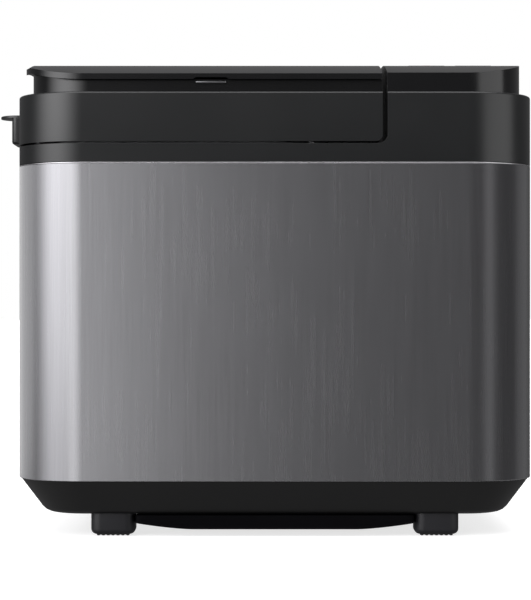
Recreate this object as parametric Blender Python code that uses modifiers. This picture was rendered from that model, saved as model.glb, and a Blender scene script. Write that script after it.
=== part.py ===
"""Bread machine with a side-opening lid, a dispenser cover, a belt-driven blade and a control block.

Metres, +Z up. The front is -Y, so +X is to the user's right. The origin is under the middle of the whole
object, on the surface that it stands on. Shapes are drawn from the middle of the body, and the empty
"bread_machine" shifts them so that the body and the lid's handle together are centred on the origin.
"""

import math

import bmesh
import bpy
from mathutils import Matrix, Vector

# ---------------------------------------------------------------- driving dimensions
BODY_X = 0.1955  # half length of the body
BODY_Y = 0.126  # half depth
BODY_R = 0.052  # corner radius in plan
HANDLE_REACH = 0.0245  # the lid's handle stands out this far at the left end
SHEET = 0.0009
WALL = 0.0025
GAP = 0.0003

BASE_Z = 0.0163  # underside of the base tray
WRAP_Z = (0.043, 0.2805)  # steel wrap
BAND_Z = 0.2808  # underside of the plastic band
RIM_Z = 0.2945  # top of the band under the lid
DECK_Z = (0.288, 0.291)
LID_Z = 0.296
LEDGE_Z = 0.3318
ROOF_Z = 0.362
CROWN = 0.016  # the roof falls by this much at its front and back edges
CROWN_POWER = 2.6
ROOF_Y = 0.121  # half depth of the dispenser cover
COVER_THICK = 0.0048
COVER_GAP = 0.0008
LID_END_X = 0.0794  # right end of the lid
BLOCK_X = 0.0833  # left wall of the control block
COVER_INSET = 0.0054
TIER_INSET = 0.0103
BLOCK_TIER_INSET = 0.008

CHAMBER_X = -0.075  # middle of the baking chamber, the pan and the drive
CHAMBER_HALF = (0.090, 0.106)
CHAMBER_R = 0.028
CHAMBER_Z = (0.068, 0.290)
PAN_BASE_Z = 0.092
PAN_RIM_Z = 0.210
PAN_RIM_HALF = (0.066, 0.092)

LID_AXIS = (0.064, 0.3485)  # x and z of the lid's hinge, which runs along Y
HINGE_POST_Y = 0.030
PIN_R = 0.002
BORE_R = 0.0023
COVER_AXIS = (0.1190, 0.3375)  # y and z of the dispenser cover's hinge, which runs along X

MOTOR_X = 0.060
SHAFT_R = 0.004
MOTOR_SHAFT_R = 0.003
DRIVEN_R = 0.043
PINION_R = 0.009
PULLEY_Z = (0.021, 0.031)
BELT_THICK = 0.002

PANEL_X = 0.1355  # middle of the control panel
PANEL_HALF = (0.042, 0.085)
BUTTON_TRAVEL = 0.0008

NUT_BOX = ((-0.098, -0.050), (-0.014, 0.040))
YEAST_X = -0.118
YEAST_R = 0.014
FLAP_AXIS = (-0.0935, 0.3035)  # x and z
SENSOR = (0.050, 0.140)  # y and z of the temperature probe
TERMINAL_Y = (0.040, 0.062)  # where the heating element's ends leave the chamber

COLOURS = {
    "black_plastic": ((0.02, 0.021, 0.022, 1), 0.42, 0.0),
    "base_plastic": ((0.014, 0.014, 0.015, 1), 0.5, 0.0),
    "gloss_black": ((0.012, 0.012, 0.014, 1), 0.15, 0.0),
    "dark_steel": ((0.13, 0.13, 0.14, 1), 0.32, 1.0),
    "steel": ((0.55, 0.55, 0.56, 1), 0.35, 1.0),
    "coated_pan": ((0.06, 0.06, 0.065, 1), 0.4, 0.3),
    "rubber": ((0.015, 0.015, 0.015, 1), 0.8, 0.0),
    "silicone": ((0.35, 0.35, 0.36, 1), 0.6, 0.0),
    "white_nylon": ((0.7, 0.69, 0.66, 1), 0.5, 0.0),
    "element": ((0.10, 0.10, 0.10, 1), 0.5, 0.8),
    "board_green": ((0.03, 0.16, 0.07, 1), 0.5, 0.0),
    "bronze": ((0.45, 0.28, 0.13, 1), 0.4, 1.0),
    "window": ((0.03, 0.035, 0.04, 1), 0.05, 0.0),
    "button": ((0.05, 0.05, 0.055, 1), 0.4, 0.0),
}


# ---------------------------------------------------------------- scene and modelling helpers
def clear_scene():
    for obj in list(bpy.data.objects):
        bpy.data.objects.remove(obj)


clear_scene()
PARTS = bpy.data.collections.new("bread_machine_parts")
CUTTERS = bpy.data.collections.new("cutters")
for group in (PARTS, CUTTERS):
    bpy.context.scene.collection.children.link(group)
CUTTERS.hide_render = True


def empty(name, at=(0, 0, 0), parent=None):
    made = bpy.data.objects.new(name, None)
    PARTS.objects.link(made)
    made.parent = parent
    made.location = Vector(at) - (joint_place(parent) if parent else Vector())
    return made


def joint_place(body):
    """Where an empty is, measured from the middle of the body."""
    place = Vector()
    while body and body.parent:
        place += body.location
        body = body.parent
    return place


MACHINE = empty("bread_machine")
MACHINE.location = (HANDLE_REACH / 2, 0, 0)


def material(name):
    found = bpy.data.materials.get(name)
    if found:
        return found
    made = bpy.data.materials.new(name)
    made.use_nodes = True
    shader = made.node_tree.nodes["Principled BSDF"]
    colour, roughness, metallic = COLOURS[name]
    shader.inputs["Base Color"].default_value = colour
    shader.inputs["Roughness"].default_value = roughness
    shader.inputs["Metallic"].default_value = metallic
    return made


def mesh_object(name, mesh):
    obj = bpy.data.objects.new(name, mesh)
    PARTS.objects.link(obj)
    return obj


def finish(obj, body, colour):
    """Gives a piece its colour and hangs it on its body, without moving it."""
    obj.data.materials.clear()
    obj.data.materials.append(material(colour))
    obj.parent = body
    obj.location = -joint_place(body)
    obj.data.shade_smooth()
    obj.data.set_sharp_from_angle(angle=math.radians(35))
    return obj


def as_mesh(obj, place):
    """A curve's evaluated mesh, welded, closed and moved into place, as a new object."""
    bpy.context.view_layer.update()
    evaluated = obj.evaluated_get(bpy.context.evaluated_depsgraph_get())
    mesh = bpy.data.meshes.new_from_object(evaluated)
    name = obj.name
    curve = obj.data
    bpy.data.objects.remove(obj)
    bpy.data.curves.remove(curve)
    work = bmesh.new()
    work.from_mesh(mesh)
    bmesh.ops.remove_doubles(work, verts=work.verts, dist=1e-6)
    bmesh.ops.transform(work, matrix=place, verts=work.verts)
    bmesh.ops.recalc_face_normals(work, faces=work.faces)
    work.to_mesh(mesh)
    work.free()
    return mesh_object(name, mesh)


def slab(name, loops, low, high, axis="Z"):
    """A flat outline, with any holes as further loops, extruded along an axis.
    Outlines are (x, y) along Z, (y, z) along X and (x, z) along Y."""
    curve = bpy.data.curves.new(name, "CURVE")
    curve.dimensions = "2D"
    curve.fill_mode = "BOTH"
    curve.extrude = (high - low) / 2
    for loop in loops:
        spline = curve.splines.new("POLY")
        spline.points.add(len(loop) - 1)
        for point, (u, v) in zip(spline.points, loop):
            point.co = (u, v, 0, 1)
        spline.use_cyclic_u = True
    obj = mesh_object(name, curve)
    middle = (low + high) / 2
    turns = {
        "Z": Matrix.Translation((0, 0, middle)),
        "X": Matrix(((0, 0, 1, middle), (1, 0, 0, 0), (0, 1, 0, 0), (0, 0, 0, 1))),
        "Y": Matrix(((1, 0, 0, 0), (0, 0, -1, middle), (0, 1, 0, 0), (0, 0, 0, 1))),
    }
    return as_mesh(obj, turns[axis])


def wire(name, points, radius, cyclic=False):
    """A round bar that follows points."""
    curve = bpy.data.curves.new(name, "CURVE")
    curve.dimensions = "3D"
    curve.bevel_depth = radius
    curve.bevel_resolution = 2
    curve.use_fill_caps = True
    spline = curve.splines.new("POLY")
    spline.points.add(len(points) - 1)
    for point, at in zip(spline.points, points):
        point.co = (*at, 1)
    spline.use_cyclic_u = cyclic
    return as_mesh(mesh_object(name, curve), Matrix.Identity(4))


def from_bmesh(name, work):
    mesh = bpy.data.meshes.new(name)
    bmesh.ops.recalc_face_normals(work, faces=work.faces)
    work.to_mesh(mesh)
    work.free()
    return mesh_object(name, mesh)


def box(name, low, high):
    work = bmesh.new()
    size = Vector(high) - Vector(low)
    middle = (Vector(high) + Vector(low)) / 2
    bmesh.ops.create_cube(work, size=1, matrix=Matrix.Translation(middle) @ Matrix.Diagonal((*size, 1)))
    return from_bmesh(name, work)


def cylinder(name, radius, start, end, sides=20):
    start, end = Vector(start), Vector(end)
    along = end - start
    place = Matrix.Translation((start + end) / 2) @ along.to_track_quat("Z", "Y").to_matrix().to_4x4()
    work = bmesh.new()
    bmesh.ops.create_cone(
        work, cap_ends=True, segments=sides, radius1=radius, radius2=radius,
        depth=along.length, matrix=place
    )
    return from_bmesh(name, work)


def turned(name, profile, at=(0, 0), steps=24):
    """A ring turned about a vertical axis from a closed profile of (radius, height) points, given clockwise
    when radius is to the right."""
    mesh = bpy.data.meshes.new(name)
    count = len(profile)
    mesh.from_pydata([(r, 0, z) for r, z in profile], [(n, (n + 1) % count) for n in range(count)], [])
    obj = mesh_object(name, mesh)
    screw = obj.modifiers.new("Turn", "SCREW")
    screw.steps = screw.render_steps = steps
    screw.use_merge_vertices = True
    screw.merge_threshold = 1e-5
    bpy.context.view_layer.update()
    solid = bpy.data.meshes.new_from_object(obj.evaluated_get(bpy.context.evaluated_depsgraph_get()))
    solid.transform(Matrix.Translation((*at, 0)))
    bpy.data.objects.remove(obj)
    bpy.data.meshes.remove(mesh)
    work = bmesh.new()
    work.from_mesh(solid)
    bpy.data.meshes.remove(solid)
    bmesh.ops.remove_doubles(work, verts=work.verts, dist=1e-6)
    return from_bmesh(name, work)


def ring(name, inner, outer, low, high, at=(0, 0), steps=24):
    """A plain tube."""
    return turned(name, [(inner, high), (outer, high), (outer, low), (inner, low)], at, steps)


def loft(name, rings, closed_top=False):
    """A skin through outlines of the same number of points, with a floor and an optional top."""
    work = bmesh.new()
    loops = [[work.verts.new((x, y, z)) for x, y in points] for points, z in rings]
    count = len(loops[0])
    for lower, upper in zip(loops, loops[1:]):
        for n in range(count):
            m = (n + 1) % count
            work.faces.new((lower[n], lower[m], upper[m], upper[n]))
    work.faces.new(list(reversed(loops[0])))
    if closed_top:
        work.faces.new(loops[-1])
    mesh = bpy.data.meshes.new(name)
    work.to_mesh(mesh)
    work.free()
    return mesh_object(name, mesh)


def thicken(obj, thickness):
    """Gives an open skin its wall, inwards."""
    wall = obj.modifiers.new("Wall", "SOLIDIFY")
    wall.thickness = thickness
    wall.offset = -1
    wall.use_even_offset = True
    return obj


def combine(obj, other, operation):
    """Cuts other from obj, or joins it on, and files other with the cutters."""
    change = obj.modifiers.new(operation.title(), "BOOLEAN")
    change.operation = operation
    change.object = other
    other.hide_render = True
    other.display_type = "WIRE"
    PARTS.objects.unlink(other)
    CUTTERS.objects.link(other)
    other.parent = MACHINE
    return obj


def cut(obj, *others):
    for other in others:
        combine(obj, other, "DIFFERENCE")
    return obj


def join(obj, *others):
    for other in others:
        combine(obj, other, "UNION")
    return obj


def merge(name, pieces):
    """Several cutters as one."""
    work = bmesh.new()
    for piece in pieces:
        work.from_mesh(piece.data)
        bpy.data.objects.remove(piece)
    return from_bmesh(name, work)


# ---------------------------------------------------------------- outlines
def arc(x, y, radius, start, end, steps):
    """Points on an arc, in degrees, both ends included."""
    angles = [math.radians(start + (end - start) * n / steps) for n in range(steps + 1)]
    return [(x + radius * math.cos(a), y + radius * math.sin(a)) for a in angles]


def outline(half_x, half_y, radius, x=0.0, y=0.0, steps=6):
    """A rounded rectangle, anticlockwise."""
    points = []
    for n, (sx, sy) in enumerate(((1, 1), (-1, 1), (-1, -1), (1, -1))):
        corner = (x + sx * (half_x - radius), y + sy * (half_y - radius))
        points += arc(*corner, radius, 90 * n, 90 * n + 90, steps)
    return points


def end_outline(flat_x, round_x, half_y, radius, steps=6):
    """A plan that is flat at one end and has rounded corners at the other."""
    if round_x > flat_x:
        corner = round_x - radius
        rounded = arc(corner, radius - half_y, radius, -90, 0, steps)
        rounded += arc(corner, half_y - radius, radius, 0, 90, steps)
        return [(flat_x, -half_y), *rounded, (flat_x, half_y)]
    corner = round_x + radius
    rounded = arc(corner, half_y - radius, radius, 90, 180, steps)
    rounded += arc(corner, radius - half_y, radius, 180, 270, steps)
    return [(flat_x, half_y), *rounded, (flat_x, -half_y)]


def roof(y):
    """Height of the arched roof at a distance from the middle of the depth."""
    return ROOF_Z - CROWN * min(abs(y) / ROOF_Y, 1) ** CROWN_POWER


def roof_points(drop, count=16):
    """The arch as (y, z) points from front to back, closer together where it bends most."""
    places = [ROOF_Y * math.sin(math.pi / 2 * (2 * n / count - 1)) for n in range(count + 1)]
    edge = (BODY_Y + 0.02, roof(ROOF_Y) - drop)
    return [(-edge[0], edge[1]), *[(y, roof(y) - drop) for y in places], edge]


def above_roof(drop, low=-0.25, high=0.25):
    """Everything above the arch, lowered by drop."""
    top = [(BODY_Y + 0.02, 0.42), (-BODY_Y - 0.02, 0.42)]
    return slab("above_roof", [roof_points(drop) + top], low, high, "X")


def below_roof(drop, low=-0.25, high=0.25):
    """Everything below the arch, lowered by drop."""
    foot = [(BODY_Y + 0.02, 0.25), (-BODY_Y - 0.02, 0.25)]
    return slab("below_roof", [roof_points(drop) + foot], low, high, "X")


# ---------------------------------------------------------------- base, feet and frame
FOOT_AT = [(sx * 0.1212, sy * 0.087) for sx in (-1, 1) for sy in (-1, 1)]
BOSS_AT = [(sx * 0.146, sy * 0.078) for sx in (-1, 1) for sy in (-1, 1)]
PAD_TOP = 0.0032


def foot_post(x, y):
    rings = [
        (outline(0.0138, 0.0115, 0.006, x, y, 3), PAD_TOP + GAP),
        (outline(0.01625, 0.014, 0.008, x, y, 3), 0.0062),
        (outline(0.01625, 0.014, 0.008, x, y, 3), 0.0178),
    ]
    return loft("foot_post", rings, closed_top=True)


def slots(name, centre, size, pitch, count, low, high):
    """A row of slots side by side along X, as one cutter."""
    first = centre[0] - pitch * (count - 1) / 2
    wide, deep = size[0] / 2, size[1] / 2
    pieces = []
    for n in range(count):
        x = first + n * pitch
        corners = (x - wide, centre[1] - deep, low), (x + wide, centre[1] + deep, high)
        pieces.append(box("slot", *corners))
    return merge(name, pieces)


def base_tray():
    rings = [
        (outline(0.1735, 0.1045, 0.0345), BASE_Z),
        (outline(0.1775, 0.1085, 0.0385), BASE_Z + 0.004),
        (outline(BODY_X - GAP, BODY_Y - GAP, BODY_R - GAP), WRAP_Z[0] - 0.0022),
        (outline(BODY_X - GAP, BODY_Y - GAP, BODY_R - GAP), WRAP_Z[0] - GAP),
    ]
    tray = thicken(loft("base_tray", rings), WALL)
    join(tray, *[foot_post(x, y) for x, y in FOOT_AT])
    join(tray, *[cylinder("boss", 0.0065, (x, y, 0.0175), (x, y, 0.0457), 12) for x, y in BOSS_AT])
    cut(tray, slab("access", [outline(0.090, 0.062, 0.012, steps=2)], 0.010, 0.022))
    cut(tray, cylinder("gland_hole", 0.0093, (0.120, 0.095, 0.031), (0.120, 0.135, 0.031), 16))
    cut(tray, slots("floor_vents", (0.135, 0), (0.004, 0.060), 0.009, 5, 0.012, 0.022))
    return finish(tray, MACHINE, "base_plastic")


def foot_pads():
    for x, y in FOOT_AT:
        name = f"foot_pad_{'front' if y < 0 else 'rear'}_{'left' if x < 0 else 'right'}"
        finish(slab(name, [outline(0.0125, 0.0105, 0.005, x, y, 3)], 0, PAD_TOP), MACHINE, "rubber")


def bowed_outline(half_x, end_y, middle_y, steps=6):
    """Straight ends, with front and back edges bowed outwards."""
    rise = middle_y - end_y
    radius = (half_x**2 + rise**2) / (2 * rise)
    half_angle = math.degrees(math.asin(half_x / radius))
    back = arc(0, middle_y - radius, radius, 90 - half_angle, 90 + half_angle, steps)
    return back + [(-x, -y) for x, y in back]


def bottom_cover():
    cover = slab("bottom_cover", [bowed_outline(0.1040, 0.088, 0.1035)], 0.0052, BASE_Z - GAP)
    cut(cover, slab("inside", [bowed_outline(0.1018, 0.086, 0.1013)], 0.0074, 0.02))
    for y in (-0.045, 0.0, 0.045):
        cut(cover, slots("vents", (0, y), (0.004, 0.030), 0.014, 9, 0.001, 0.012))
    return finish(cover, MACHINE, "base_plastic")


def chassis_plate():
    plate = slab("chassis_plate", [outline(0.172, 0.106, 0.036, steps=3)], 0.046, 0.048)
    cut(plate, cylinder("bearing_hole", 0.0155, (CHAMBER_X, 0, 0.04), (CHAMBER_X, 0, 0.06)))
    cut(plate, cylinder("motor_hole", 0.010, (MOTOR_X, 0, 0.04), (MOTOR_X, 0, 0.06)))
    return finish(plate, MACHINE, "steel")


def body_shell():
    loops = [outline(BODY_X, BODY_Y, BODY_R), outline(BODY_X - SHEET, BODY_Y - SHEET, BODY_R - SHEET)]
    shell = slab("body_shell", loops, *WRAP_Z)
    for row in range(4):
        z = 0.200 + row * 0.012
        vents = []
        for n in range(3):
            left = 0.085 + n * 0.022
            vents.append(box("vent", (left, 0.11, z), (left + 0.016, 0.14, z + 0.004)))
        cut(shell, merge("rear_vents", vents))
    return finish(shell, MACHINE, "dark_steel")


def cord_gland():
    gland = cylinder("cord_gland", 0.009, (0.120, 0.104, 0.031), (0.120, 0.1235, 0.031), 16)
    cut(gland, cylinder("bore", 0.0038, (0.120, 0.09, 0.031), (0.120, 0.14, 0.031), 12))
    return finish(gland, MACHINE, "rubber")


# ---------------------------------------------------------------- band, deck and control block
BUTTONS = {
    "button_menu": (0.1115, -0.004, 0.009, 0.006),
    "button_size": (0.1355, -0.004, 0.009, 0.006),
    "button_crust": (0.1595, -0.004, 0.009, 0.006),
    "button_timer_down": (0.1195, -0.028, 0.011, 0.006),
    "button_timer_up": (0.1515, -0.028, 0.011, 0.006),
    "button_stop": (0.1175, -0.056, 0.014, 0.009),
    "button_start": (0.1535, -0.056, 0.014, 0.009),
}
WINDOW = (PANEL_X, 0.043, 0.034, 0.026)


def lid_space():
    """The room that the lid takes out of the housing: a rounded inner corner, a bevel at the top."""
    fillet = 0.009
    corner = arc(BLOCK_X - fillet, RIM_Z + fillet, fillet, 270, 360, 4)
    side = [(-0.25, RIM_Z), *corner, (BLOCK_X, 0.3575), (BLOCK_X + 0.0225, 0.380), (-0.25, 0.380)]
    return slab("lid_space", [side], -0.14, 0.14, "Y")


def upper_housing():
    housing = slab("upper_housing", [outline(BODY_X, BODY_Y, BODY_R)], BAND_Z, LEDGE_Z)
    tier = end_outline(0.06, BODY_X - BLOCK_TIER_INSET, BODY_Y - BLOCK_TIER_INSET, 0.046)
    join(housing, slab("tier", [tier], 0.325, 0.375))
    cut(housing, lid_space(), above_roof(0))
    recess = end_outline(0.076, 0.003 - BODY_X, BODY_Y - 0.003, BODY_R - 0.003)
    cut(housing, slab("recess", [recess], DECK_Z[1], 0.31))
    under = outline(BODY_X - 0.0025, BODY_Y - 0.0025, BODY_R - 0.0025)
    cut(housing, slab("under", [under], 0.27, DECK_Z[0]))
    cavity = end_outline(BLOCK_X + WALL, BODY_X - 0.0027, BODY_Y - 0.0027, BODY_R - 0.0027)
    cut(housing, slab("block_cavity", [cavity], 0.275, LEDGE_Z - WALL))
    inner = end_outline(BLOCK_X + WALL + 0.0002, BODY_X - BLOCK_TIER_INSET - WALL, BODY_Y - 0.0105, 0.0435)
    tier_cavity = cut(slab("tier_cavity", [inner], 0.320, 0.375), above_roof(WALL))
    cut(housing, tier_cavity)
    half = (CHAMBER_HALF[0] + 0.0082, CHAMBER_HALF[1] + 0.0082)
    cut(housing, slab("opening", [outline(*half, CHAMBER_R + 0.0082, CHAMBER_X)], 0.26, 0.32))
    cut(housing, slab("panel_seat", [outline(*PANEL_HALF, 0.006, PANEL_X, steps=3)], 0.345, 0.37))
    return finish(housing, MACHINE, "black_plastic")


def control_panel():
    half = (PANEL_HALF[0] - GAP, PANEL_HALF[1] - GAP)
    panel = slab("control_panel", [outline(*half, 0.0057, PANEL_X, steps=3)], 0.340, 0.375)
    cut(panel, above_roof(0), below_roof(0.0024))
    x, y, half_x, half_y = WINDOW
    cut(panel, slab("window_seat", [outline(half_x + GAP, half_y + GAP, 0.0033, x, y, 3)], 0.34, 0.37))
    for x, y, half_x, half_y in BUTTONS.values():
        seat = outline(half_x + 0.0004, half_y + 0.0004, 0.0044, x, y, 3)
        cut(panel, slab("button_seat", [seat], 0.34, 0.37))
    return finish(panel, MACHINE, "gloss_black")


def display_window():
    x, y, half_x, half_y = WINDOW
    window = slab("display_window", [outline(half_x, half_y, 0.003, x, y, 3)], 0.340, 0.375)
    cut(window, above_roof(0), below_roof(0.0016))
    return finish(window, MACHINE, "window")


def buttons():
    for name, (x, y, half_x, half_y) in BUTTONS.items():
        top = roof(y)
        body = empty(name + "_slide", (x, y, top), MACHINE)
        button = slab(name, [outline(half_x, half_y, 0.004, x, y, 3)], 0.3515, 0.375)
        cut(button, above_roof(-0.0002))
        join(button, cylinder("stem", 0.002, (x, y, 0.3432), (x, y, 0.3525), 8))
        finish(button, body, "button")


def control_board():
    board = box("control_board", (0.095, -0.078, 0.338), (0.176, 0.078, 0.3396))
    for x, y, *_ in BUTTONS.values():
        join(board, box("switch", (x - 0.003, y - 0.003, 0.3390), (x + 0.003, y + 0.003, 0.3420)))
    join(board, box("display", (0.104, 0.020, 0.3390), (0.168, 0.066, 0.3500)))
    return finish(board, MACHINE, "board_green")


# ---------------------------------------------------------------- baking chamber
def chamber_liner():
    hx, hy = CHAMBER_HALF
    rings = [
        (outline(hx - 0.010, hy - 0.010, 0.018, CHAMBER_X), CHAMBER_Z[0]),
        (outline(hx, hy, CHAMBER_R, CHAMBER_X), CHAMBER_Z[0] + 0.006),
        (outline(hx, hy, CHAMBER_R, CHAMBER_X), CHAMBER_Z[1]),
        (outline(hx + 0.0075, hy + 0.0075, CHAMBER_R + 0.0075, CHAMBER_X), CHAMBER_Z[1]),
    ]
    liner = thicken(loft("chamber_liner", rings), 0.0012)
    cut(liner, cylinder("shaft_hole", 0.006, (CHAMBER_X, 0, 0.060), (CHAMBER_X, 0, 0.075), 12))
    for y in TERMINAL_Y:
        cut(liner, cylinder("terminal_hole", 0.0042, (0, y, 0.084), (0.03, y, 0.084), 12))
    cut(liner, cylinder("probe_hole", 0.0056, (0, *SENSOR), (0.03, *SENSOR), 12))
    return finish(liner, MACHINE, "steel")


def heating_element():
    """One tubular loop round the pan's base, whose ends leave through the right wall."""
    half_x, half_y, bend = 0.080, 0.097, 0.020
    right = CHAMBER_X + half_x
    loop = outline(half_x, half_y, bend, CHAMBER_X, 0, 4)
    near, far = TERMINAL_Y
    first = [(0.034, far), (right + 0.006, far), (right, far + 0.006)]
    last = [(right, near - 0.006), (right + 0.006, near), (0.034, near)]
    route = [(x, y, 0.084) for x, y in [*first, *loop, *last]]
    return finish(wire("heating_element", route, 0.0033), MACHINE, "element")


def pan_socket():
    bore, wall, rim = 0.0310, 0.0345, 0.042
    foot, step, top = 0.0695, 0.0725, 0.084
    profile = [(bore, top), (wall, top), (wall, step), (rim, step), (rim, foot), (bore, foot)]
    return finish(turned("pan_socket", profile, (CHAMBER_X, 0)), MACHINE, "steel")


def sensor_housing():
    y, z = SENSOR
    housing = cylinder("sensor_housing", 0.009, (0.0153, y, z), (0.0192, y, z), 16)
    cut(housing, cylinder("bore", 0.0056, (0, y, z), (0.04, y, z), 12))
    return finish(housing, MACHINE, "white_nylon")


def temperature_sensor():
    y, z = SENSOR
    body = empty("sensor_slide", (0, y, z), MACHINE)
    probe = cylinder("temperature_sensor", 0.005, (-0.0092, y, z), (0.030, y, z), 16)
    return finish(probe, body, "steel")


def heat_shield():
    shield = box("heat_shield", (0.0240, -0.108, 0.0485), (0.0248, 0.108, 0.284))
    front, back = TERMINAL_Y[0] - 0.009, TERMINAL_Y[1] + 0.009
    cut(shield, box("terminal_slot", (0.02, front, 0.074), (0.03, back, 0.094)))
    cut(shield, cylinder("probe_hole", 0.010, (0.02, *SENSOR), (0.03, *SENSOR), 12))
    return finish(shield, MACHINE, "steel")


# ---------------------------------------------------------------- drive
def bearing_housing():
    profile = [
        (0.0083, 0.066),
        (0.014, 0.066),
        (0.014, 0.0523),
        (0.026, 0.0523),
        (0.026, 0.0483),
        (0.014, 0.0483),
        (0.014, 0.0335),
        (0.0083, 0.0335),
    ]
    return finish(turned("bearing_housing", profile, (CHAMBER_X, 0)), MACHINE, "steel")


def shaft_bush():
    bush = ring("shaft_bush", SHAFT_R + GAP, 0.008, 0.0338, 0.0657, (CHAMBER_X, 0), 16)
    return finish(bush, MACHINE, "bronze")


def pulley(name, rim, bore, at, colour, body):
    """A flanged pulley for a flat belt."""
    low, high = PULLEY_Z
    flange = rim + 0.003
    profile = [
        (bore, high),
        (flange, high),
        (flange, high - 0.001),
        (rim, high - 0.001),
        (rim, low + 0.001),
        (flange, low + 0.001),
        (flange, low),
        (bore, low),
    ]
    return finish(turned(name, profile, at, 32 if rim > 0.02 else 20), body, colour)


def dogs(name, count, start, low, high):
    """Driving teeth on a ring, each an eighth of a turn or less."""
    teeth = []
    for n in range(count):
        middle = start + 360 * n / count
        inner = arc(CHAMBER_X, 0, 0.007, middle - 16, middle + 16, 2)
        outer = arc(CHAMBER_X, 0, 0.0135, middle - 16, middle + 16, 2)
        teeth.append(slab("dog", [outer + inner[::-1]], low, high))
    return merge(name, teeth)


def drive_train():
    body = empty("drive_spin", (CHAMBER_X, 0, 0.05), MACHINE)
    centre = (CHAMBER_X, 0)
    shaft = cylinder("drive_shaft", SHAFT_R, (*centre, 0.018), (*centre, 0.0745), 16)
    finish(shaft, body, "steel")
    coupling = ring("drive_coupling", SHAFT_R + GAP, 0.0145, 0.0705, 0.0765, centre, 20)
    join(coupling, dogs("drive_dogs", 3, 0, 0.0755, 0.0820))
    finish(coupling, body, "steel")
    pulley("driven_pulley", DRIVEN_R, SHAFT_R + GAP, centre, "white_nylon", body)


def motor():
    centre = (MOTOR_X, 0)
    can = [
        (0.0083, 0.118),
        (0.033, 0.118),
        (0.033, 0.0503),
        (0.0083, 0.0503),
        (0.0083, 0.0517),
        (0.0316, 0.0517),
        (0.0316, 0.1166),
        (0.0083, 0.1166),
    ]
    finish(turned("motor_can", can, centre), MACHINE, "steel")
    finish(ring("motor_stator", 0.0185, 0.0312, 0.066, 0.100, centre, 20), MACHINE, "dark_steel")
    body = empty("motor_spin", (MOTOR_X, 0, 0.05), MACHINE)
    shaft = cylinder("motor_shaft", MOTOR_SHAFT_R, (*centre, 0.018), (*centre, 0.121), 12)
    finish(shaft, body, "steel")
    finish(ring("motor_rotor", MOTOR_SHAFT_R + GAP, 0.018, 0.064, 0.102, centre, 20), body, "dark_steel")
    pulley("motor_pulley", PINION_R, MOTOR_SHAFT_R + GAP, centre, "white_nylon", body)
    fan = ring("motor_fan", MOTOR_SHAFT_R + GAP, 0.026, 0.034, 0.0355, centre, 18)
    blades = []
    for n in range(9):
        turn = Matrix.Translation((MOTOR_X, 0, 0)) @ Matrix.Rotation(math.tau * n / 9, 4, "Z")
        blade = box("blade", (0.008, -0.0006, 0.0350), (0.0250, 0.0006, 0.0430))
        blade.data.transform(turn)
        blades.append(blade)
    join(fan, merge("fan_blades", blades))
    finish(fan, body, "white_nylon")


def belt_loop(offset):
    """The path round both pulleys at a distance from their rims."""
    big, small = DRIVEN_R + offset, PINION_R + offset
    lean = math.degrees(math.acos((big - small) / (MOTOR_X - CHAMBER_X)))
    around = arc(CHAMBER_X, 0, big, lean, 360 - lean, 22)
    return around + arc(MOTOR_X, 0, small, -lean, lean, 8)


def drive_belt():
    loops = [belt_loop(GAP + BELT_THICK), belt_loop(GAP)]
    belt = slab("drive_belt", loops, PULLEY_Z[0] + 0.0015, PULLEY_Z[1] - 0.0015)
    return finish(belt, MACHINE, "rubber")


def electrics():
    board = box("power_board", (0.150, -0.060, 0.070), (0.1516, 0.060, 0.180))
    for low, high in (
        ((0.118, -0.045, 0.085), (0.1505, -0.010, 0.125)),
        ((0.132, 0.010, 0.090), (0.1505, 0.038, 0.110)),
        ((0.136, 0.000, 0.135), (0.1505, 0.050, 0.165)),
    ):
        join(board, box("component", low, high))
    finish(board, MACHINE, "board_green")
    capacitor = cylinder("motor_capacitor", 0.014, (0.115, 0.070, 0.0485), (0.115, 0.070, 0.092), 16)
    finish(capacitor, MACHINE, "steel")


# ---------------------------------------------------------------- bread pan and blade
def bread_pan(body):
    hx, hy = PAN_RIM_HALF
    rings = [
        (outline(hx - 0.008, hy - 0.008, 0.014, CHAMBER_X, 0, 5), PAN_BASE_Z),
        (outline(hx - 0.005, hy - 0.005, 0.018, CHAMBER_X, 0, 5), PAN_BASE_Z + 0.004),
        (outline(hx, hy, 0.022, CHAMBER_X, 0, 5), PAN_RIM_Z),
        (outline(hx + 0.0035, hy + 0.0035, 0.0255, CHAMBER_X, 0, 5), PAN_RIM_Z),
    ]
    pan = thicken(loft("bread_pan", rings), 0.0015)
    join(pan, ring("skirt", 0.0275, 0.0300, 0.0728, 0.0928, (CHAMBER_X, 0)))
    for side in (-1, 1):
        low = min(side * 0.0895, side * 0.0970)
        ear = box("ear", (CHAMBER_X - 0.008, low, 0.194), (CHAMBER_X + 0.008, low + 0.0075, 0.2085))
        start, end = (CHAMBER_X, side * 0.0955, 0.202), (CHAMBER_X, side * 0.1022, 0.202)
        pivot = cylinder("pivot", 0.0025, start, end, 12)
        join(pan, ear, pivot)
    cut(pan, cylinder("bush_hole", 0.0102, (CHAMBER_X, 0, 0.08), (CHAMBER_X, 0, 0.10)))
    finish(pan, body, "coated_pan")
    bush = [
        (SHAFT_R + GAP, 0.098),
        (0.0098, 0.098),
        (0.0098, 0.0912),
        (0.013, 0.0912),
        (0.013, 0.0890),
        (SHAFT_R + GAP, 0.0890),
    ]
    finish(turned("pan_bush", bush, (CHAMBER_X, 0), 20), body, "bronze")


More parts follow.
